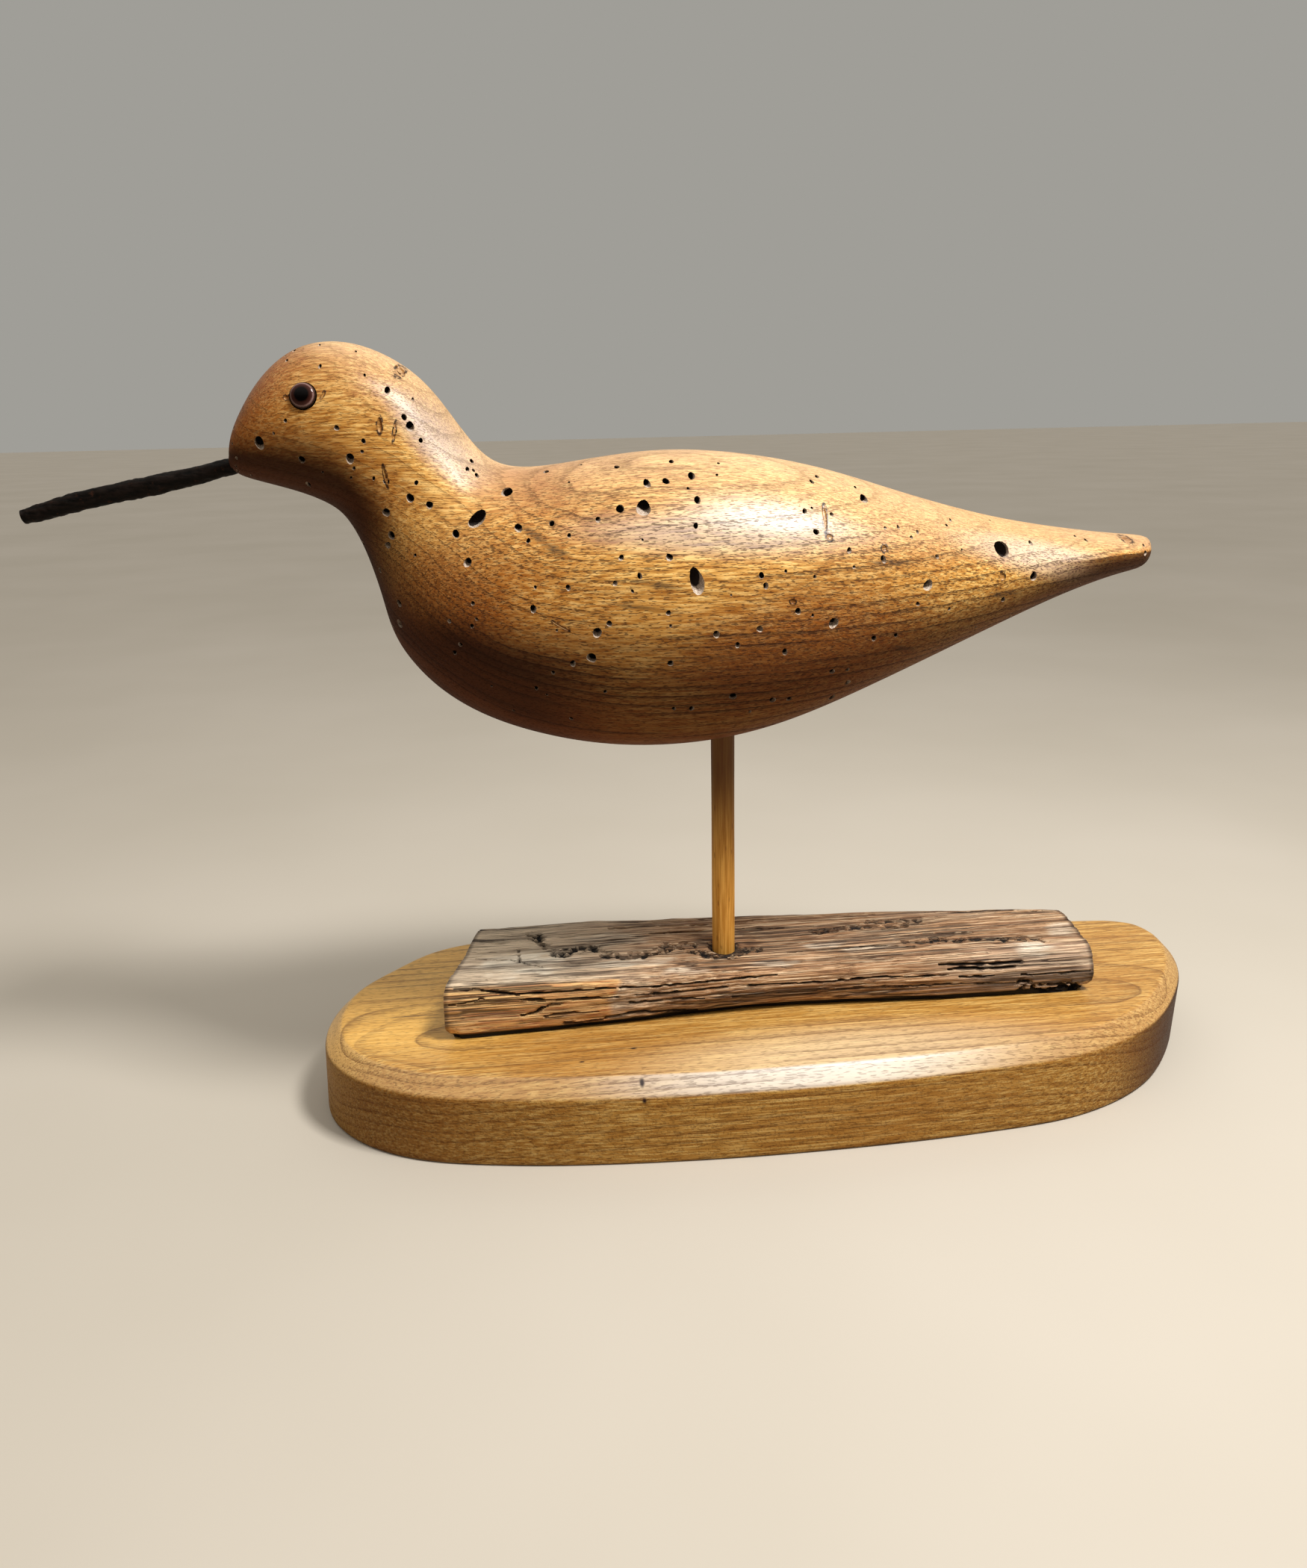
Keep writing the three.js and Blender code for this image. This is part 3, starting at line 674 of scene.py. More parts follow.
height = zs - DRIFT_AT[2]
from_end = (0.5 - np.abs(drift_rows[:, :1])) * DRIFT_SIZE[0]
above_foot = ease(0.0, 2.5, height)
furrows = sum(depth * furrow(*kind) for depth, kind in FURROWS)
unevenness = 0.35 * hills(xs / 23, around / 8, 18) + 0.12 * hills(xs / 5, around / 3.2, 19)
by_leg = ease(6.2, 4.6, np.hypot(xs - LEG_AT[0], ys - LEG_AT[1]) + 0.5 * crooked) * from_top
splits = np.maximum(splits, by_leg * 0.8)
relief = (furrows + WORN_ALL_OVER + unevenness) * above_foot + SPLIT_DEPTH * splits
relief = np.clip(relief, 0, DEEPEST)
drift_worn = drift - drift_out * relief[..., None] * (height > 0.01)[..., None]
undercut = FOOT_UNDERCUT * ease(2.2, 0.8, height) * (0.8 + 0.4 * hills(xs / 12, around / 50, 20))
undercut += END_UNDERCUT * ease(5, 0, from_end) * ease(7, 0, height)
drift_worn[..., 1] += undercut * from_front
sawn_corner = CORNER_LOST * ease(4.5, 0, height) * ease(6, 0, from_end) * from_front
drift_worn[..., 0] += np.sign(DRIFT_AT[0] - xs) * sawn_corner
shares = np.linspace(0, 1, DRIFT_UNDER + 2)[1:-1][:, None]
front_foot, back_foot = drift_worn[:, :1], drift_worn[:, DRIFT_OVER - 1:DRIFT_OVER]
drift_worn[:, DRIFT_OVER:] = back_foot + (front_foot - back_foot) * shares
# Painted shade: dark in the splits and furrows and along the front foot, where the contact shadow falls
hollow_shade = np.clip(splits * 1.1 + furrows * 0.7 + ease(2.6, 1.2, height) * from_front, 0, 1)
print("deepest relief:", round(float(relief.max()), 2), "mm")

# %% [markdown]
# Old wood is grey outside and tan where it is freshly worn. The worn and pale places, and the depth of the
# splits, furrows and foot, are measured on the mesh and stored on its points, and the finish reads them
# back by name. That depth is painted as shade: dark in the splits and furrows and along the front foot.
# Painting a picture would do as well, but stored numbers keep to the shape when it changes.

# %% The driftwood's mesh
# Middle and size as seen from above, and how pale
PALE_PATCHES = [
    ((-92, -8), (17, 12), 1.0), ((-55, -12), (20, 3.5), 0.8), ((-37, -18.5), (9, 2.5), 0.7),
    ((89.7, -17), (9, 4), 0.9), ((15.4, -6), (9, 3), 0.6), ((-4.3, -16), (8, 2.5), 0.6),
    ((30.7, -11.1), (12, 2.5), 0.7), ((104.5, -6.3), (6, 6), 0.5), ((-60, 6), (14, 5), 0.5),
]
END_SHARES = (0.93, 0.75, 0.5, 0.25)


def end_rings(rings):
    """Shrunken copies of the last ring, which close the end with an even face."""
    middle = rings[-1].mean(0)
    return [middle + (rings[-1] - middle) * share for share in END_SHARES]


def store(piece, name, values):
    """Keeps one number for each point of a mesh under a name."""
    kept = piece.data.attributes.new(name, "FLOAT", "POINT")
    numbers = np.zeros(len(piece.data.vertices))
    numbers[:len(values)] = values
    kept.data.foreach_set("value", numbers)


drift_rings = np.concatenate([end_rings(drift_worn[::-1])[::-1], drift_worn, end_rings(drift_worn)])
pale = np.zeros(xs.shape)
for (px, py), (wide, high), strength in PALE_PATCHES:
    far = np.hypot((xs - px) / wide, (ys - py) / high) + 0.35 * hills(xs / 4, bent / 1.7, 21)
    pale = np.maximum(pale, strength * ease(1.1, 0.45, far) * from_top)
pale *= 1 - 0.8 * np.clip(furrows * 2, 0, 1)
# The front is freshly worn from the left end to a ragged line
boundary = -59.5 - np.maximum(0, 44 - zs) * 0.45 + 2.5 * hills(bent / 2.2, bent / 90, 22)
fresh = ease(1.5, -1.5, xs - boundary) * from_front


def with_caps(values):
    """The same numbers with those of the end rings repeated on the end faces."""
    repeat = len(END_SHARES)
    return np.concatenate([values[:1].repeat(repeat, 0), values, values[-1:].repeat(repeat, 0)]).ravel()


driftwood_finish, place = new_finish("driftwood")
driftwood = make_piece("driftwood_relief", *skin(drift_rings), [driftwood_finish])
for name, values in (("hollow_shade", hollow_shade), ("pale", pale), ("fresh", fresh)):
    store(driftwood, name, with_caps(values))
driftwood.data.set_sharp_from_angle(angle=math.radians(55))
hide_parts("driftwood")
print("driftwood faces:", len(driftwood.data.polygons))

# %% [markdown]
# Driftwood is brushed and left dull. Its colour is laid in coats: first the fibres, then broad patches that
# are greyer or paler, then what the mesh knows of worn and pale places, and last the painted shade of its
# splits and furrows. Early coats also paint shade over the right of the top and paint light towards the
# left end, where the bird's shadow falls. Fibres and hairline cracks are finer than the mesh can be, so
# they are noise stretched along the grain.

# %% The driftwood's finish
x, y, _ = place.parts()
hair = fibres(place, 3.4, 0.010)
fine = fibres(place, 1.9, 0.012)
coarse = fibres(place, 0.33, 0.04)
patchy = (place * (0.25, 1, 1)).noise(0.06, 3.0, 0.6)
wavering = (place * (0.012, 1, 1)).noise(0.62, 1.0) - 0.5
thin_lines = wavering.reckon("ABSOLUTE", wavering).ease(0.075, 0.025)
dry_parts = (place * (0.2, 1, 1)).noise(0.12, 2.0).ease(0.44, 0.58)
cracks = hair.ease(0.45, 0.38) * 0.45 + thin_lines * dry_parts * 0.9
sawn_edge = (x - y * 0.25).ease(-110.6, -112.2) * 0.6 + x.ease(108.4, 110.2) * 0.7
worn = fine.ramp([(0.36, (190, 110, 50)), (0.58, (252, 202, 128))])
colour = fine.ramp([(0.38, (130, 90, 60)), (0.5, (194, 146, 102)), (0.62, (248, 216, 176))])
colour = painted(colour, [
    # painted shade over the right of the top, which the lamp lights most
    ((84, 56, 38), x.ease(-40, 20) * y.ease(-25, -8) * 0.18),
    ((240, 222, 200), x.ease(40, 90) * y.ease(-10, -22) * 0.3),
    # paler towards the left end: partly the wood's own weathering, partly painted light in the bird's
    # shadow
    ((248, 230, 200), x.ease(-30, -96) * 0.66),
    ((96, 68, 48), coarse.ease(0.4, 0.7) * 0.38),
    ((170, 146, 124), patchy.ease(0.5, 0.7) * 0.4),
    (worn, place.kept("fresh") * 0.85),
    ((244, 230, 206), place.kept("pale") * fine.ease(0.34, 0.5)),
    ((50, 28, 16), sawn_edge),
    ((46, 28, 18), cracks * 0.85),
    # painted shade in the splits, furrows and along the front foot
    ((16, 10, 8), place.kept("hollow_shade")),
])
apply_finish(driftwood_finish, {
    "Base Color": colour,
    "Roughness": fine * 0.3 + 0.45,
    "Specular IOR Level": 0.3,
    "Normal": bump(hair * 0.7 + fine * 0.6 - cracks, 0.45, 1.0),
})

# %% [markdown]
# The leg is a length of plain dowel, glued into both woods. A dowel has straight fibre along it and hardly
# any shine. A plain cylinder would have its form. Rings also give it eased ends and a shaft that is not
# quite even, and the finish adds the fibre and painted shade at the top, below the belly, where the bird's
# shadow falls.

# %% The leg
LEG_WIDTH = 8
LEG_IN_DRIFT = 12
BELLY_ABOVE_DRIFT = 77.4
LEG_STEPS = 72
leg_low, leg_high = (corner[2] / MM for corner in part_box("leg"))
BELLY = leg_low + LEG_IN_DRIFT + BELLY_ABOVE_DRIFT
LEG_END_ROUND = 0.5


def once_round(count):
    """Angles at equal steps once round."""
    return np.linspace(0, 2 * math.pi, count, endpoint=False)


def leg_rings(steps):
    """Level rings about the leg's line, from pairs of radius and height."""
    return [np.column_stack([LEG_AT[0] + radius * np.cos(circle), LEG_AT[1] + radius * np.sin(circle),
                             np.full(LEG_STEPS, height)]) for radius, height in steps]


circle = once_round(LEG_STEPS)
heights = np.linspace(leg_low + LEG_END_ROUND, leg_high - LEG_END_ROUND, 60)
shaft = [(LEG_WIDTH / 2 + 0.03 * math.sin(h / 9), h) for h in heights]
leg_end = LEG_WIDTH / 2 - LEG_END_ROUND
leg_steps = [(leg_end, leg_low), *shaft, (leg_end, leg_high)]
leg_finish, place = new_finish("dowel wood")
z = place.parts()[2]
grain = (place * (1, 1, 0.04)).noise(1.3, 4.0, 0.6)
dots = (place * (1, 1, 0.14)).cells(0.75).ease(0.16, 0.08)
colour = grain.ramp([(0.38, (200, 136, 50)), (0.62, (244, 184, 90))])
# Painted shade: the leg darkens towards the belly, in the bird's shadow
colour = painted(colour, [((66, 28, 5), z.ease(69, 117) * 0.87), ((110, 60, 24), dots * 0.7)])
apply_finish(leg_finish, {
    "Base Color": colour,
    "Roughness": grain * 0.2 + 0.5,
    "Specular IOR Level": 0.25,
    "Normal": bump(grain - dots, 0.1, 0.6),
})
leg = make_piece("leg_dowel", *skin(leg_rings(leg_steps)), [leg_finish])
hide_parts("leg")
print("belly height:", round(BELLY, 2), "mm")

# %% [markdown]
# The bird is carved, so it has no hard edges but at the bill's root and the tip of the tail. Its
# slices lean with the neck: each row gives a top point and a bottom point in the side view, the
# half width, and how square the slice is.

# %% The bird's slices
BIRD_LENGTH = 299
BIRD_RINGS_PER_ROW = 14
BIRD_POINTS = 196
# Shares of the length. Top point, bottom point, half width, how far up the widest place is, and how
# square the slice is above and below it
OVAL = (0.50, 2.1, 2.1)
BIRD_SLICES = [
    (-0.5050, 0.3258, -0.5037, 0.3090, 0.017, 0.50, 2.0, 2.0),
    (-0.5007, 0.3425, -0.4970, 0.3027, 0.035, *OVAL),
    (-0.4896, 0.3649, -0.4783, 0.2963, 0.052, *OVAL),
    (-0.4649, 0.3993, -0.4421, 0.2856, 0.065, *OVAL),
    (-0.4268, 0.4264, -0.4151, 0.2742, 0.072, *OVAL),
    (-0.3799, 0.4301, -0.3957, 0.2599, 0.074, *OVAL),
    (-0.3355, 0.4130, -0.3816, 0.2324, 0.073, *OVAL),
    (-0.3010, 0.3853, -0.3722, 0.2027, 0.075, *OVAL),
    (-0.2709, 0.3418, -0.3649, 0.1729, 0.083, *OVAL),
    (-0.2425, 0.3094, -0.3575, 0.1391, 0.097, *OVAL),
    (-0.2007, 0.3027, -0.3401, 0.1057, 0.114, *OVAL),
    (-0.1405, 0.3104, -0.3023, 0.0652, 0.129, *OVAL),
    (-0.0669, 0.3181, -0.2341, 0.0278, 0.140, *OVAL),
    (0.0167, 0.3130, -0.1171, 0.0000, 0.145, *OVAL),
    (0.1070, 0.2957, 0.0268, 0.0077, 0.140, *OVAL),
    (0.2007, 0.2656, 0.1645, 0.0605, 0.122, *OVAL),
    (0.2943, 0.2391, 0.2789, 0.1094, 0.095, 0.50, 2.0, 2.0),
    (0.3746, 0.2241, 0.3696, 0.1472, 0.069, 0.50, 1.9, 2.0),
    (0.4415, 0.2151, 0.4381, 0.1686, 0.050, 0.55, 1.8, 2.0),
    (0.4726, 0.2124, 0.4700, 0.1749, 0.038, 0.56, 1.8, 2.1),
    (0.4826, 0.2096, 0.4794, 0.1822, 0.019, 0.55, 1.8, 2.1),
]

# %% [markdown]
# Many rings are read between the rows, and the numbers are softened along the body, so that the
# shine runs over it without ripples. A few more rings crown the face and the tip of the tail.

# %% The bird's skin
def bird_ring(row, turns):
    """One slice of the bird, from its top point down the near side and round."""
    top_x, top_z, low_x, low_z, wide, widest, above, below = row
    full = 2 / np.where(np.cos(turns) >= 0, above, below)
    rise = np.sign(np.cos(turns)) * np.abs(np.cos(turns)) ** full
    out = np.sign(np.sin(turns)) * np.abs(np.sin(turns)) ** full
    share = np.where(rise >= 0, widest + (1 - widest) * rise, widest + widest * rise)
    sides = [low_x + (top_x - low_x) * share, -wide * out, low_z + (top_z - low_z) * share]
    return np.stack(sides, -1) * BIRD_LENGTH


def domed(rings, height, steps):
    """More rings that crown the last one, as sandpaper leaves an end."""
    middle = rings[-1].mean(0)
    way = unit(middle - rings[-4].mean(0))
    rises = np.linspace(0, math.pi / 2, steps + 2)[1:-1]
    return [middle + (rings[-1] - middle) * math.cos(t) + way * height * math.sin(t) for t in rises]


turns = once_round(BIRD_POINTS)
bird_rows = soften(through(BIRD_SLICES, BIRD_RINGS_PER_ROW), 5)
bird_body = [bird_ring(row, turns) for row in bird_rows]
face = domed(bird_body[::-1], 0.8, 5)[::-1]
tail = domed(bird_body, 1.0, 5)
bird_skin = np.array(face + bird_body + tail) + (*LEG_AT, BELLY)
ahead = np.gradient(bird_skin, axis=0)
bird_out = unit(np.cross(np.roll(bird_skin, -1, 1) - np.roll(bird_skin, 1, 1), ahead))
print("bird length:", round(float(np.ptp(bird_skin[..., 0])), 1), "mm")


def skin_spot(along, up, side):
    """The skin's point and outward direction at a place in the side view. Side -1 is the near side."""
    miss = np.hypot(bird_skin[..., 0] - LEG_AT[0] - along, bird_skin[..., 2] - BELLY - up)
    miss += 1e3 * (bird_out[..., 1] * side < 0)
    spot = np.unravel_index(miss.argmin(), miss.shape)
    return bird_skin[spot], bird_out[spot]


# %% [markdown]
# Beetle larvae bored the wood long before it was carved, and carving cut through their tunnels at
# all angles. So the holes are real tunnels, cut out of the mesh: most are round, some are ovals, a
# few run just under the skin as an open track. The near side's are where they are on the real bird.
# The far side was not seen, so its holes are made up.

# %% Wormholes of the near side
# For each width, how far the holes lie to the right of the leg and above the belly
WORMHOLES = {
    4.1: [(85.4, 62.8)], 3.6: [(-14.6, 58.5)], 3.5: [(-28.2, 79.2)], 3.3: [(-76.8, 77.2)],
    3.1: [(-68.2, 84.5)],
    2.5: [(-138.9, 100.2), (56.7, 54.7)], 2.4: [(-43.8, 43.8), (-45.0, 36.7), (28.0, 44.3)],
    2.3: [(-95.1, 103.6)],
    2.2: [(-113.2, 95.3), (95.8, 54.5)], 2.1: [(-103.4, 45.9), (40.7, 79.3)],
    2.0: [(-96.4, 84.1), (-103.6, 79.7), (-103.0, 73.1), (-65.8, 74.8), (-81.1, 64.9), (-34.9, 79.5),
         (-26.5, 85.6), (-13.2, 88.1), (-2.4, 23.2)],
    1.9: [(30.2, 18.8)],
    1.8: [(-127.0, 95.1), (-90.8, 81.9), (-104.3, 69.8), (-83.9, 73.2), (-21.5, 87.1), (-12.0, 80.6),
         (11.1, 20.0)],
    1.7: [(-62.3, 52.7), (-22.2, 66.1), (4.3, 44.9), (-8.9, 43.0)],
    1.6: [(-100.8, 113.8), (-102.8, 88.5), (-102.4, 52.3), (-55.8, 89.4), (23.6, 70.8), (43.2, 62.1),
         (29.1, 29.0), (34.8, 24.3)],
    1.5: [(-55.3, 76.3), (-40.0, 46.4), (-51.9, 36.2), (5.0, 60.1), (5.1, 56.5), (14.8, 48.4),
         (11.2, 36.5), (-21.4, 34.4)],
    1.4: [(-97.1, 106.6), (-127.1, 88.0), (-34.4, 90.4), (-18.1, 91.5), (41.3, 38.6), (85.2, 47.4),
         (15.8, 19.7)],
    1.3: [(-115.9, 103.5), (-99.8, 102.7), (-41.7, 76.7), (-35.7, 65.3), (-38.0, 58.4), (-51.9, 57.5),
         (-14.2, 75.1), (19.6, 76.8), (32.0, 65.4), (138.7, 58.6), (-30.3, 60.1), (-24.2, 49.4),
         (-2.4, 39.8), (-14.6, 19.4)],
    1.2: [(-128.4, 125.7), (-97.7, 119.3), (-108.0, 62.0), (25.6, 84.5), (27.6, 86.1), (60.2, 62.1),
         (96.2, 63.7)],
    1.1: [(-92.2, 99.8), (-108.7, 100.0), (-103.9, 91.0), (-94.3, 87.9), (-63.0, 71.4), (-51.3, 72.8),
         (-79.8, 91.1), (-77.0, 89.5), (-78.2, 93.5), (-79.9, 53.2), (-86.6, 48.6), (-80.7, 47.2),
         (-84.3, 41.3), (-86.5, 39.0), (-57.1, 32.1), (-61.7, 27.3), (-51.7, 15.4), (27.5, 75.6),
         (47.0, 39.6), (53.8, 48.8), (34.4, 28.9), (-22.0, 19.8)],
    0.9: [(-119.8, 120.7), (-119.2, 113.0), (-130.0, 105.8), (-109.4, 96.7), (-112.0, 92.7),
         (-45.2, 91.1), (-42.3, 26.7), (46.3, 71.0), (50.5, 71.2), (56.4, 69.2), (54.4, 68.3),
         (64.8, 46.8), (20.3, 58.4), (11.6, 60.9), (33.2, 61.0)],
    0.8: [(-129.5, 123.0), (-131.3, 108.5), (-96.2, 67.0), (-15.0, 84.9), (-3.2, 90.7), (-5.1, 87.5)],
    0.7: [(-124.5, 119.3), (-107.6, 118.2)],
}
# Holes that are not round: how much taller than wide, and how far they lean
ODD_HOLES = {0: (1.3, 8), 1: (1.9, 6), 2: (1.15, 5), 3: (1.7, -52), 4: (0.85, 10), 5: (1.3, 10)}

# %% [markdown]
# A drilled hole is round and straight, a gnawed one is neither. So each tunnel is a stack of uneven
# rings that wander a little to the side. It starts just outside the skin and ends blind in the wood.

# %% Rings of a tunnel
WORMHOLE_DEPTH = 4.5
# The widths are of the dark openings, and the pale rims make the holes this much wider
WORMHOLE_RIM = 1.18
ROUNDER_FROM = 1.8


def facing(out):
    """The level and the upright direction on a face that looks this way."""
    level = unit(np.cross((0, 0, 1), out))
    return level, np.cross(out, level)


def leaning(a, b, degrees):
    """Two coordinates, turned by an angle."""
    lean = math.radians(degrees)
    return a * math.cos(lean) - b * math.sin(lean), a * math.sin(lean) + b * math.cos(lean)


def burrow(spot, skin_out, width, taller, lean, slant):
    """Rings of a wobbly tunnel, from its rounded end up to just outside the skin."""
    side = math.copysign(1, skin_out[1])
    out = unit(skin_out * 0.45 + np.array((0, side, 0.1)) * 0.55 * ease(0.1, 0.4, abs(skin_out[1])))
    level, upright = facing(out)
    angle = once_round(14 if width > ROUNDER_FROM else 10)
    radius = width / 2 * WORMHOLE_RIM
    deep = min(WORMHOLE_DEPTH, 2.2 * width)
    clear = 0.8 + radius * math.tan(math.acos(min(1, out @ skin_out)))
    rings = []
    for height, size in ((-deep, 0.25), (-deep + 0.25 * radius, 0.62), (-deep + 0.7 * radius, 0.88),
                         (-1.5 * radius - 0.3, 0.94), (-0.15, 0.98), (clear, 1.05)):
        wobble = 1 + 0.08 * np.sin(2 * angle + spot[0]) + 0.06 * np.sin(3 * angle + spot[2] + height)
        a, b = radius * size * wobble * np.cos(angle), radius * size * wobble * taller * np.sin(angle)
        a, b = leaning(a, b, lean)
        middle = spot + out * height - (level * slant[0] + upright * slant[1]) * min(height, 0)
        rings.append(middle + np.outer(a, level) + np.outer(b, upright))
    return rings


# %% [markdown]
# Everything that is let into the bird is cut in one go: the tunnels, the scars and the seats of the
# leg, the bill and the eyes. The cutter carries its own finishes, so the walls of a tunnel come out
# pale near the skin and nearly black inside. Cutting hole by hole would give the same and be slower.

# %% Cutting
SKIN_WOOD, RIM_WOOD, DEEP_WOOD = range(3)


def cut(piece, cutter):
    """Takes the cutter's form out of a piece, and keeps the cutter's finishes on the new faces."""
    step = piece.modifiers.new("cut", "BOOLEAN")
    step.operation = "DIFFERENCE"
    step.solver = "MANIFOLD"
    step.object = cutter
    seen = bpy.context.evaluated_depsgraph_get()
    mesh = bpy.data.meshes.new_from_object(piece.evaluated_get(seen))
    piece.modifiers.clear()
    piece.data = mesh
    bpy.data.objects.remove(cutter)


def joined(parts):
    """Several closed skins as one list of points and faces, with each part's finish per face."""
    points, faces, finishes = [], [], []
    for part_points, part_faces, finish_of in parts:
        start = sum(len(p) for p in points)
        points.append(part_points)
        faces += [tuple(start + k for k in face) for face in part_faces]
        finishes += finish_of
    return np.vstack(points), faces, finishes


def tunnel(rings):
    """A tunnel's skin, whose faces near the rim take the pale finish and the others the dark one."""
    points, faces = skin(rings)
    sides = len(rings[0])
    rim = range(3 * sides, (len(rings) - 1) * sides)
    return points, faces, [RIM_WOOD if k in rim else DEEP_WOOD for k in range(len(faces))]


def lined(rings, wood):
    """A closed skin whose faces all take the same finish."""
    points, faces = skin(rings)
    return points, faces, [wood] * len(faces)


# %% [markdown]
# The eyes are bought glass domes on short stems, and the bill is a thin dark twig, a little bent. A
# piece that is let into another needs its line first, because the seat is cut from the same line.

# %% Lines of the bill and the eyes
# A hair under the solid's 62.5, so that the rounded tip stays inside it
BILL_SHOWING = 62.42
BILL_WIDTH = 5.7
BILL_IN_FACE = 0.24
BILL_ROOT = (-0.5085, 0.3110)
# Shares of the length that shows. How far out, how far up, and the thickness there
BILL_ROWS = [
    (-0.5, 0.110, 0.90), (-0.2, 0.044, 0.92), (0.0, 0.0, 0.92), (0.19, -0.041, 0.96), (0.38, -0.078, 1.03),
    (0.56, -0.110, 1.0), (0.74, -0.148, 0.98), (0.9, -0.188, 0.96), (1.0, -0.213, 0.80),
]
EYE_PLACE = (-0.418, 0.3775)
EYE_WIDTH = 7.6
EYE_DOME = 1.7
EYE_STEM = 3.5
SEAT_GAP = 0.25


def bill_rings(sides, swell, bark=0, until=1.0):
    """Rings along the twig. A swollen one without bark cuts the seat."""
    rows = bill_rows[bill_rows[:, 0] <= until]
    line = rows[:, :2] * (-BILL_SHOWING, BILL_SHOWING) + np.array(BILL_ROOT) * BIRD_LENGTH
    ahead = unit(np.gradient(line, axis=0))
    angle = once_round(sides)
    bark = np.broadcast_to(bark, (len(bill_rows), sides))
    rings = []
    for k, (share, _, thick) in enumerate(rows):
        knobbly = 1 + 0.045 * np.sin(2 * angle + 3 * share) + 0.035 * np.sin(3 * angle - 5 * share)
        radius = BILL_WIDTH / 2 * thick * knobbly + bark[k] + swell
        rise = np.cos(angle) * radius
        along, up = line[k, 0] + rise * ahead[k, 1], line[k, 1] - rise * ahead[k, 0]
        rings.append(np.column_stack([along, np.sin(angle) * radius, up]) + (*LEG_AT, BELLY))
    return rings


def turned_rings(steps, spot, out, sides):
    """Rings turned about a line, from pairs of radius and height above its foot."""
    angle = once_round(sides)
    circle = np.stack([np.cos(angle), np.sin(angle), 0 * angle], -1)
    turn = np.array(Vector((0, 0, 1)).rotation_difference(Vector(out)).to_matrix())
    return [(circle * (r, r, 1) + (0, 0, h)) @ turn.T + spot for r, h in steps]


bill_rows = through(BILL_ROWS, 26)
bill_rows = bill_rows[bill_rows[:, 0] >= -BILL_IN_FACE]
eye_spots = {side: skin_spot(*(np.array(EYE_PLACE) * BIRD_LENGTH), side) for side in (-1, 1)}
seat_radius = EYE_WIDTH / 2 + SEAT_GAP
eye_seat = [(seat_radius, -EYE_STEM - 0.3), (seat_radius, -0.6), (seat_radius + 0.15, 3.0)]
print("near eye:", eye_spots[-1][0].round(1))

# %% [markdown]
# The larger holes of the far side are placed one by one, as close together as those of the near side.
# Its other holes and the smallest dots of both sides are chosen at random, each well clear of the
# others, so that no two tunnels run into each other by chance. The draws are seeded, so they are the
# same in every run.

# %% All the tunnels
# Along, up and width
FAR_HOLES = [
    (63, 67, 3.4), (15, 73, 3.0), (-36, 60, 3.6), (-72, 75, 2.6), (-90, 90, 2.4), (-111, 108, 2.2),
    (39, 45, 2.5), (-15, 30, 2.4), (-60, 39, 2.8), (90, 57, 2.2), (-45, 84, 2.3), (-96, 54, 2.0),
]
# Side, how many, smallest and largest width. Side 0 is the ridge of the back and the underside
SCATTERED = ((1, 105, 0.8, 2.0), (-1, 42, 0.6, 0.85), (0, 22, 0.8, 1.5))
TRIES_PER_HOLE = 40
WHOLE_FACE_RINGS = 18
WHOLE_TAIL_RINGS = 12
ROOM_FOR_EYE = 10.5
ROOM_FOR_LEG = 9
chance = np.random.default_rng(40)
holes = []


def clear_of_others(spot, width):
    """Whether wood is left between a hole of this width and the other holes and the eyes."""
    others = [(p, w) for p, _, w, _ in holes] + [(p, ROOM_FOR_EYE) for p, _ in eye_spots.values()]
    return all(np.linalg.norm(spot - p) > (width + w) * 0.72 + 0.5 for p, w in others)


def drawn_form(tallest, lean):
    """A random form: how much taller than wide a hole is, and how far it leans."""
    return chance.uniform(1.0, tallest), chance.uniform(-lean, lean)


near_holes = [(*place, width) for width, places in WORMHOLES.items() for place in places]
for number, (along, up, width) in enumerate(near_holes):
    spot, out = skin_spot(along, up, -1)
    if clear_of_others(spot, width):
        form = drawn_form(1.35, 25)
        holes.append((spot, out, width, ODD_HOLES.get(number, form)))
for along, up, width in FAR_HOLES:
    holes.append((*skin_spot(along, up, 1), width, drawn_form(1.5, 40)))
for side, count, smallest, largest in SCATTERED:
    goal = len(holes) + count
    for _ in range(count * TRIES_PER_HOLE):
        if len(holes) == goal:
            break
        ring = chance.integers(WHOLE_FACE_RINGS, len(bird_skin) - WHOLE_TAIL_RINGS)
        turn = chance.integers(BIRD_POINTS)
        spot, out, width = bird_skin[ring, turn], bird_out[ring, turn], chance.uniform(smallest, largest)
        fits = out[1] * side > 0.25
        if side == 0:
            fits = abs(out[1]) < 0.3 and abs(spot[0] - LEG_AT[0]) > ROOM_FOR_LEG
        if fits and clear_of_others(spot, width):
            holes.append((spot, out, width, drawn_form(1.4, 30)))
parts = []
for spot, out, width, (taller, lean) in holes:
    slant = (chance.uniform(-0.3, 0.3), chance.uniform(0.1, 0.9) * ease(-0.55, 0.1, out[2]))
    parts.append(tunnel(burrow(spot, out, width, taller, lean, slant)))
print("wormholes:", len(holes))

# %% [markdown]
# A few larvae left open tracks in the skin. Such a scar is a flat bead that lies half in the wood,
# and the finish draws its broken outline later. The seats are cut a little wider than what goes into
# them, as a drill would leave them, and they start outside the skin, so that they open through it.

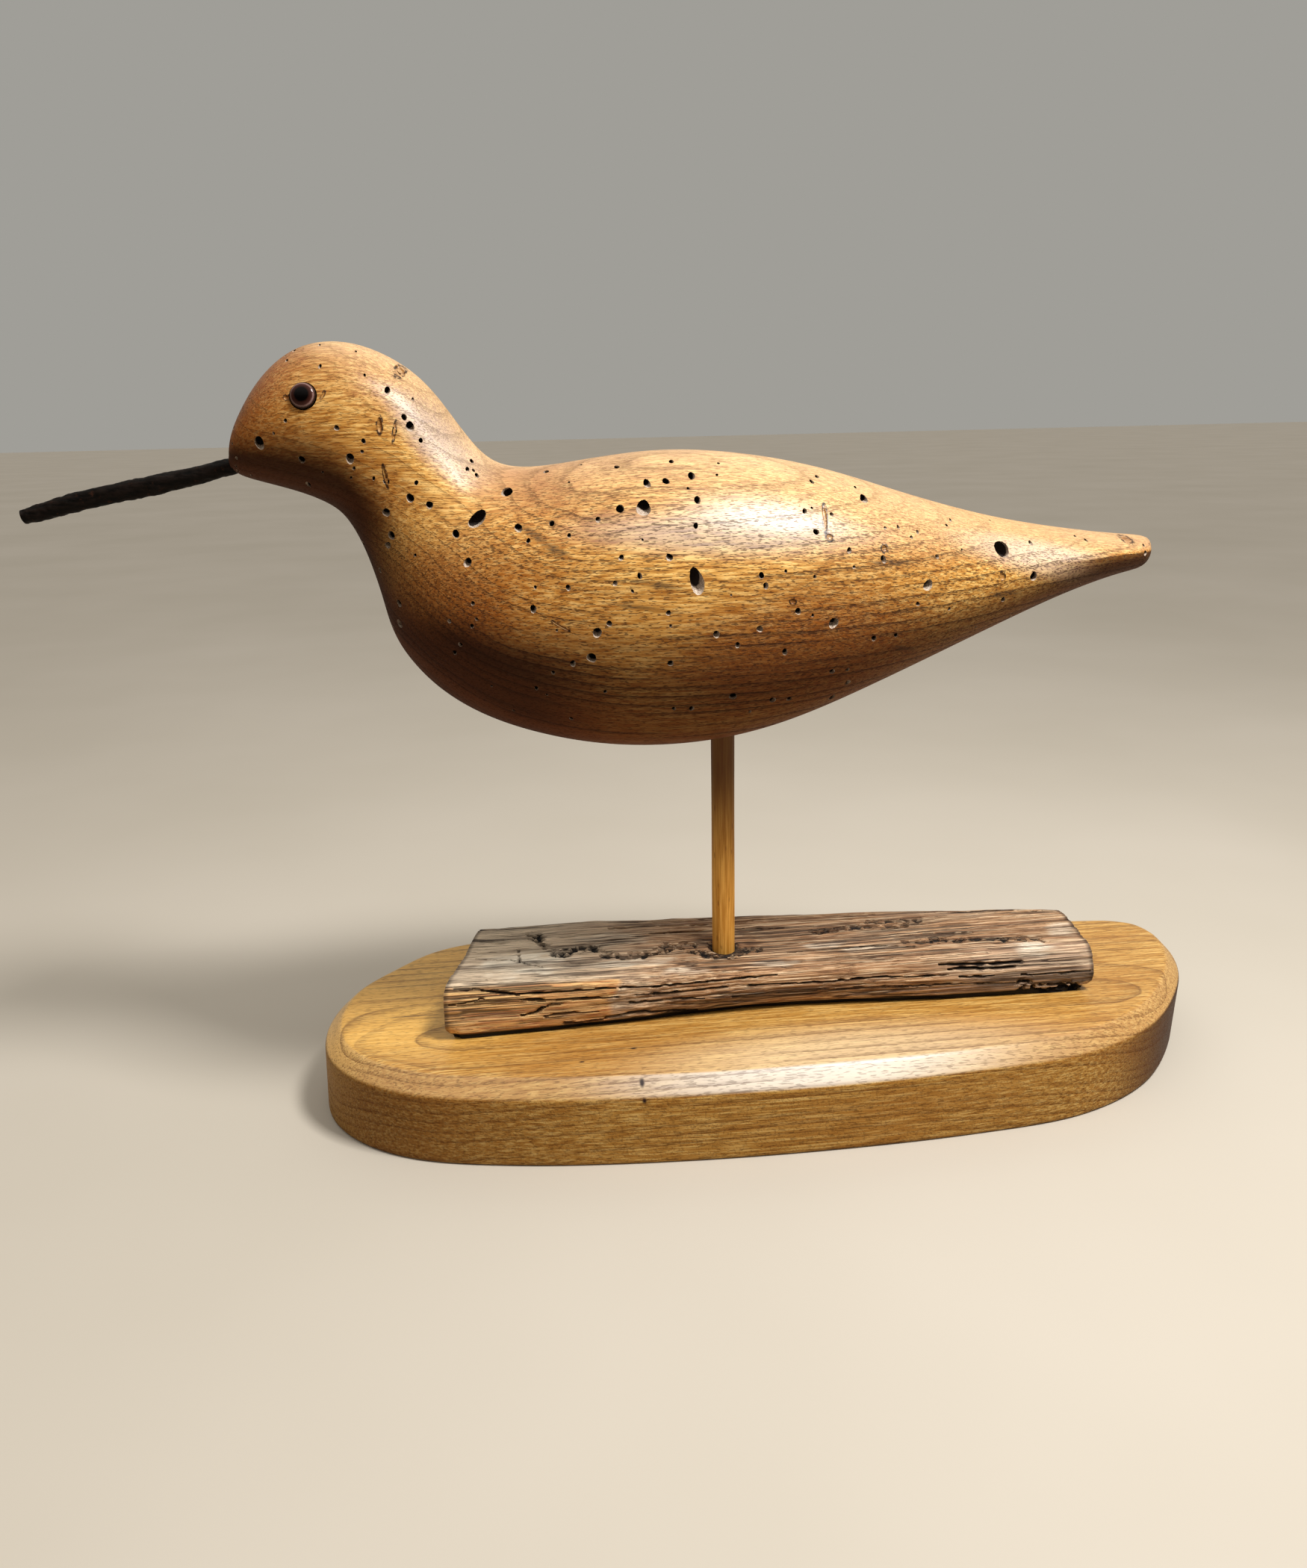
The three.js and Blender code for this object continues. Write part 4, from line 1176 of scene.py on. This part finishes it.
# %% Scars and seats
# Place, half width, half height and depth, and lean
SCARS = [
    ((27.2, 75.3), (0.7, 5.0, 0.6), -8), ((-97.9, 119.6), (1.5, 2.9, 0.8), -26),
    ((-103.9, 104.6), (0.75, 2.4, 0.7), -4), ((-99.9, 102.2), (0.35, 3.0, 0.4), -12),
    ((-102.8, 90.0), (0.45, 3.2, 0.5), 8), ((-55.1, 47.8), (3.2, 0.3, 0.3), -32),
    ((27.0, 69.8), (1.1, 1.1, 0.5), 0), ((44.0, 65.5), (1.0, 1.2, 0.5), 0),
    ((133.7, 63.0), (1.9, 1.4, 0.5), 0), ((83.1, 55.2), (1.0, 1.4, 0.6), 5),
    ((15.1, 51.9), (0.9, 0.9, 0.5), 0), ((-119.2, 112.6), (0.3, 1.5, 0.4), -30),
    ((-129.9, 112.4), (0.9, 0.7, 0.4), 20),
]


def scar_rings(spot, out, half_sizes, lean):
    """A shallow open track: a long flat bead that lies half in the skin."""
    ways = np.array([*facing(out), out])
    angle = once_round(14)
    wide, high, deep = half_sizes
    rings = []
    for t in np.linspace(-math.pi / 2, math.pi / 2, 9)[1:-1]:
        a = wide * math.cos(t) * np.cos(angle) * (1 + 0.12 * np.sin(3 * angle + spot[0]))
        b = high * math.cos(t) * np.sin(angle) * (1 + 0.05 * np.sin(5 * angle))
        c = np.full(len(angle), deep * math.sin(t) + 0.05)
        rings.append(spot + np.stack([*leaning(a, b, lean), c], -1) @ ways)
    return rings


for (along, up), half_sizes, lean in SCARS:
    parts.append(lined(scar_rings(*skin_spot(along, up, -1), half_sizes, lean), SKIN_WOOD))
SEAT_STARTS = 12
leg_seat = [(LEG_WIDTH / 2 + SEAT_GAP, h) for h in (BELLY - SEAT_STARTS, leg_high + 0.3)]
seats = [bill_rings(24, SEAT_GAP, until=0.4)]
seats += [turned_rings(eye_seat, *eye_spots[side], 40) for side in (-1, 1)]
seats += [leg_rings(leg_seat)]
# The seats take the near-black finish too: painted shade in the gap round the leg, the bill and the eyes
parts += [lined(rings, DEEP_WOOD) for rings in seats]

# %% [markdown]
# On the bird the layers lie nearly level along the body, lean outwards to the flank, and dip where
# the breast meets the neck. A level plane would give straight lines; the curve of a hyperbolic
# tangent gives that dip without a kink. The fibre follows the same bend, less strongly.

# %% The bird's grain
bird_finish, place = new_finish("carved wood")
x, y, z = place.parts()
shoulder = place.reckon("TANH", (x + 112) * (1 / 24))
head_slope = x.reckon("MINIMUM", x + 90, 0.0) * -0.12
fibre = place.joined(x, y, z + shoulder * 4 + head_slope)
swirl = place.spot((-75, -34, 200), (30, 40, 22)) * 4
depth = z + shoulder * 14 - y * 0.32 + x.reckon("MINIMUM", x + 60, 0.0) * 0.12 + swirl
edge, dark_years = year_lines(place, depth, 3.4)
streak = fibres(fibre, 1.5, 0.07)
pores = open_pores(fibre, edge, 3.0, 0.17, 0.61)
# The pebbly grain of the low flank and the breast; its darker tone there is partly painted shade
pebbled_and_shaded = place.spots((1, (0, -38, 163), (58, 42, 26), -6), (1, (-110, -30, 174), (30, 40, 32), 35))
pebbles = (fibre * (0.55, 1, 1)).noise(1.2, 2.0).ease(0.42, 0.60) * pebbled_and_shaded
cloud = (fibre * (0.35, 1, 1)).noise(0.035, 3.0, 0.6)

# %% [markdown]
# Much of the colour here is painted light and shade, so it follows from the way the skin looks. Faces that
# look up to the lamp are painted pale, with painted sheen and painted reflections of daylight; the breast,
# the left-facing head, the tail's side and the belly get painted shade, and the pebbly grain low on the
# flank is partly painted shade too. Each such region is a number from 0 to about 1 here, and the coats read
# it by name.

# %% Regions of painted light and shade
# Painted shade: darker towards the belly, reaching higher towards the tail
low = (z - x.reckon("MAXIMUM", x, 0.0) * 0.22).ease(171, 140)
chest = x.ease(-52, -88)
head = x.ease(-84, -106) * z.ease(188, 214)
# Painted light on the breast, which also eases the painted shade there
lit_breast = place.spot((-114, -30, 190), (28, 26, 26))
# Painted shade on faces turned from the lamp, with its own light directions on the breast and under the
# head
shade = place.sheltered(0.15, -0.45) * (1 - chest) * 0.6
under_head = z.ease(194, 214)
breast_shade = place.sheltered(-0.03, -0.36, (0.30, 0.0, 0.95)) * (1 - under_head)
breast_shade = breast_shade + place.sheltered(0.0, -0.55, (0.50, 0.0, 0.87)) * under_head
shade = shade + breast_shade * chest * (0.95 - lit_breast * 0.4)
# Painted light on faces that look up
sunny = place.sheltered(0.45, 1.0)
# Painted shade on faces that look left, at the head and the breast
left_shade = place.sheltered(0.25, -0.60, (1.0, 0.0, 0.2)) * x.ease(-44, -80) * (1 - lit_breast * 0.9)
# Painted shade on the tail's side, below the edge of its flat top
tail_side_shade = place.sheltered(0.56, 0.38) * x.ease(62, 104)
# Painted sheen on the tail, the neck and the back
sheen = (1 - tail_side_shade) * place.spots(
    (0.5, (84, -26, 184), (48, 16, 8), 12), (0.38, (-110, -19, 226), (23, 18, 8), 52),
    (0.2, (-14, -35, 202), (34, 18, 10), 6))
# Painted reflection of daylight along the back and the neck
daylight_reflection = place.spots((1, (-26, -40, 197), (62, 18, 9), 4), (0.7, (-106, -18, 226), (25, 20, 12), 52))
nape = place.spot((-84, -20, 211), (24, 24, 13))

# %% [markdown]
# The colour is laid in coats, the broad ones first and the fine dark marks last. Stains sit beside
# some of the holes, and each scar gets a dark outline that is broken here and there. The coat of
# varnish is strongest where hands rub.

# %% The bird's coats
# Middle, size and slope
STAINS = [
    ((-80.5, -37, 198), (6.5, 14, 1.8), 38), ((-74.5, -39, 193.6), (6, 14, 2.2), 30),
    ((25, -38, 187), (10, 12, 1.3), 0), ((31, -34, 160), (8, 14, 1.5), 14),
    ((-46, -44, 183.6), (10, 14, 1.3), 9), ((65, -30, 175), (9, 12, 1.8), 2),
    ((90, -22, 166), (9, 12, 1.6), -14), ((-50, -42, 177), (15, 14, 1.2), 9),
]
coats = [
    ((170, 100, 32), cloud.ease(0.42, 0.72) * 0.45),
    # painted light on faces that look up; the next coat makes it browner towards the tail
    ((224, 200, 166), sunny * 0.45),
    ((176, 124, 70), sunny * x.ease(-20, 40) * 0.32),
    # painted shade on left-facing faces
    ((152, 74, 14), left_shade * 0.72),
    # painted light on the breast
    ((216, 162, 92), lit_breast * 0.3),
    # pebbly grain, its darker tone partly painted shade
    ((138, 68, 12), pebbled_and_shaded * 0.68),
    ((112, 60, 16), pebbles * 0.6),
    # painted shade towards the belly
    ((118, 48, 11), low * 0.62),
    # painted shade
    ((42, 17, 5), shade),
    # painted shade on the tail's side
    ((62, 30, 10), tail_side_shade * 0.85),
    ((150, 88, 34), nape * 0.5),
    # painted sheen
    ((232, 218, 204), sheen),
    # painted reflection of daylight
    ((178, 186, 188), daylight_reflection * 0.36),
    ((106, 54, 18), dark_years * (1 - sunny * 0.5) * 0.4),
    ((40, 18, 6), edge * (z.ease(196, 160) * 0.6 + 0.2)),
    ((48, 23, 8), pores * (1 - sunny * 0.6) * (1 - head * 0.5) * 0.7),
]
coats += [((56, 30, 14), place.spot(*stain) * streak.ease(0.35, 0.6) * 0.85) for stain in STAINS]
broken = place.noise(0.9, 2.0).ease(0.38, 0.55) * 0.95
for (along, up), (wide, high, _), lean in SCARS:
    spot, _ = skin_spot(along, up, -1)
    reach = place.reach(spot.tolist(), (wide + 0.2, 6, high + 0.2), -lean)
    coats.append(((120, 72, 34), reach.ease(1.1, 0.8) * 0.4))
    coats.append(((36, 18, 9), reach.ease(0.58, 0.86) * reach.ease(1.3, 1.0) * broken))
colour = streak.ramp([(0.36, (158, 102, 36)), (0.5, (206, 152, 74)), (0.64, (244, 200, 122))])
colour = painted(colour, coats)
rubbed = (1 - place.sheltered(0.32, -0.12)) * (1 - chest * 0.3) * (1 - tail_side_shade)
rubbed = rubbed * (1 - place.spot((68, -8, 196), (36, 22, 14), 8) * 0.85)
rubbed = rubbed * (1 - place.spot((-104, -16, 224), (24, 22, 22)) * 0.3)
apply_finish(bird_finish, {
    "Base Color": colour,
    "Roughness": streak * 0.10 + pores * 0.2 + shade * 0.3 + 0.42,
    "Specular IOR Level": 0.12,
    "Coat Weight": rubbed * (1 - pores * 0.6) * 0.55,
    "Coat Roughness": 0.32,
    "Normal": bump(streak * 0.5 - pores - pebbles * 0.8 - edge * 0.3, 0.14, 0.8),
})

# %% [markdown]
# Inside a tunnel the wood is raw. Near the skin it is pale where light falls on its lower wall, and further
# in it is painted nearly black, for dust and as painted shade.

# %% The tunnels' wood
rim_finish, place = new_finish("bored wood at the rim")
dust = place.noise(2.5, 3.0, 0.7)
apply_finish(rim_finish, {
    "Base Color": dust.ramp([(0.35, (112, 84, 62)), (0.64, (214, 198, 180))]),
    "Roughness": dust * 0.2 + 0.7,
    "Normal": bump(dust, 0.2),
})
deep_finish, place = new_finish("bored wood inside")
dust = place.noise(1.8, 3.0, 0.7)
apply_finish(deep_finish, {
    "Base Color": dust.ramp([(0.35, (14, 8, 5)), (0.75, (44, 26, 15))]),
    "Roughness": dust * 0.1 + 0.85,
})

# %% [markdown]
# The maker bored the seats and then let the parts in, and the worms came long before. For a mesh the
# order does not matter: the bird is one closed skin, and one step takes everything out of it. The
# solver for closed meshes is quick and exact. Only steep edges stay sharp, such as a tunnel's rim.

# %% The bird, cut and finished
finishes = [bird_finish, rim_finish, deep_finish]
bird = make_piece("bird_carving", *skin(bird_skin), finishes)
cutter_points, cutter_faces, cutter_finishes = joined(parts)
cutter = make_piece("cutter", cutter_points, cutter_faces, finishes)
cutter.data.polygons.foreach_set("material_index", cutter_finishes)
cut(bird, cutter)
bird.data.set_sharp_from_angle(angle=math.radians(42))
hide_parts("bird")
print("bird faces:", len(bird.data.polygons), "finishes:", [m.name for m in bird.data.materials])

# %% [markdown]
# The twig's bark is nearly black, wrinkled along and ringed by old bud scars. A mesh with its own
# wrinkles gives the broken outline that a smooth tube with bump would not.

# %% The bill
BILL_SIDES = 40
BARK_RELIEF = 0.16
row_at, side_at = np.meshgrid(np.arange(len(bill_rows)), np.arange(BILL_SIDES), indexing="ij")
wrinkles = hills(row_at / 5.0, side_at / 4, 31, BILL_SIDES // 4)
cracks = hills(row_at / 2.2, side_at / 2, 32, BILL_SIDES // 2)
askew = 0.4 * np.sin(side_at / BILL_SIDES * 2 * math.pi)
bud_scars = BARK_RELIEF * ease(0.75, 1.0, np.sin(row_at / 9.5 + askew))
bark = BARK_RELIEF * wrinkles + 0.10 * cracks + bud_scars
twig = bill_rings(BILL_SIDES, -BARK_RELIEF, bark)
twig = domed(twig[::-1], 0.5, 3)[::-1] + twig + domed(twig, 0.15, 4)
bill_finish, place = new_finish("bill twig")
grain = (place * (0.25, 1, 1)).noise(0.9, 4.0, 0.65)
flakes = place.noise(0.5, 3.0, 0.6)
colour = grain.ramp([(0.35, (5, 4, 3)), (0.65, (24, 16, 12))])
colour = colour.towards((60, 34, 22), flakes.ease(0.58, 0.74) * 0.5)
apply_finish(bill_finish, {
    "Base Color": colour,
    "Roughness": grain * 0.3 + 0.42,
    "Specular IOR Level": 0.07,
    "Normal": bump(grain, 0.3, 0.9),
})
bill = make_piece("bill_twig", *skin(twig), [bill_finish])
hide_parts("bill")
print("bill faces:", len(bill.data.polygons))

# %% [markdown]
# A decoy's eye is a clear glass dome with the iris painted behind it: a large black pupil, a dark brown
# iris and a thin pale rim where the glass gathers light. At this size the pattern can sit on the polished
# dome itself, so the pale rim is a painted glint. Each point stores how far it is from the middle, and a
# ramp reads it.

# %% The eyes
EYE_SIDES = 56
iris_finish, place = new_finish("eye glass")
flecked = place.kept("from_middle") + place.noise(1.6, 2.0) * 0.06 - 0.03
iris = flecked.ramp([
    (0.0, (2, 1, 1)), (0.50, (4, 2, 2)), (0.58, (36, 16, 11)), (0.78, (62, 32, 26)),
    # painted glint where the glass gathers light
    (0.87, (128, 100, 94)), (0.93, (58, 36, 30)), (1.0, (10, 6, 4)),
])
apply_finish(iris_finish, {"Base Color": iris, "Roughness": 0.06, "Specular IOR Level": 0.12})
eye_radius = EYE_WIDTH / 2
profile = [(eye_radius, -EYE_STEM), (eye_radius, -1.2), (eye_radius, -0.2)]
rises = np.linspace(0, math.pi / 2, 15)[:-1]
profile += [(eye_radius * math.cos(t), EYE_DOME * math.sin(t)) for t in rises]
for side, node in ((-1, "eye_left"), (1, "eye_right")):
    rings = turned_rings(profile, *eye_spots[side], EYE_SIDES)
    eye = make_piece(f"{node}_glass", *skin(rings), [iris_finish])
    store(eye, "from_middle", np.repeat([2 * r / EYE_WIDTH for r, _ in profile], EYE_SIDES))
    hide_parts(node)
    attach(eye, "root")
    print(node, "faces:", len(eye.data.polygons))

# %% [markdown]
# Nothing moves on a decoy, so every piece rides on the one body.

# %% Hand over
for piece in (board, driftwood, leg, bird, bill):
    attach(piece, "root")
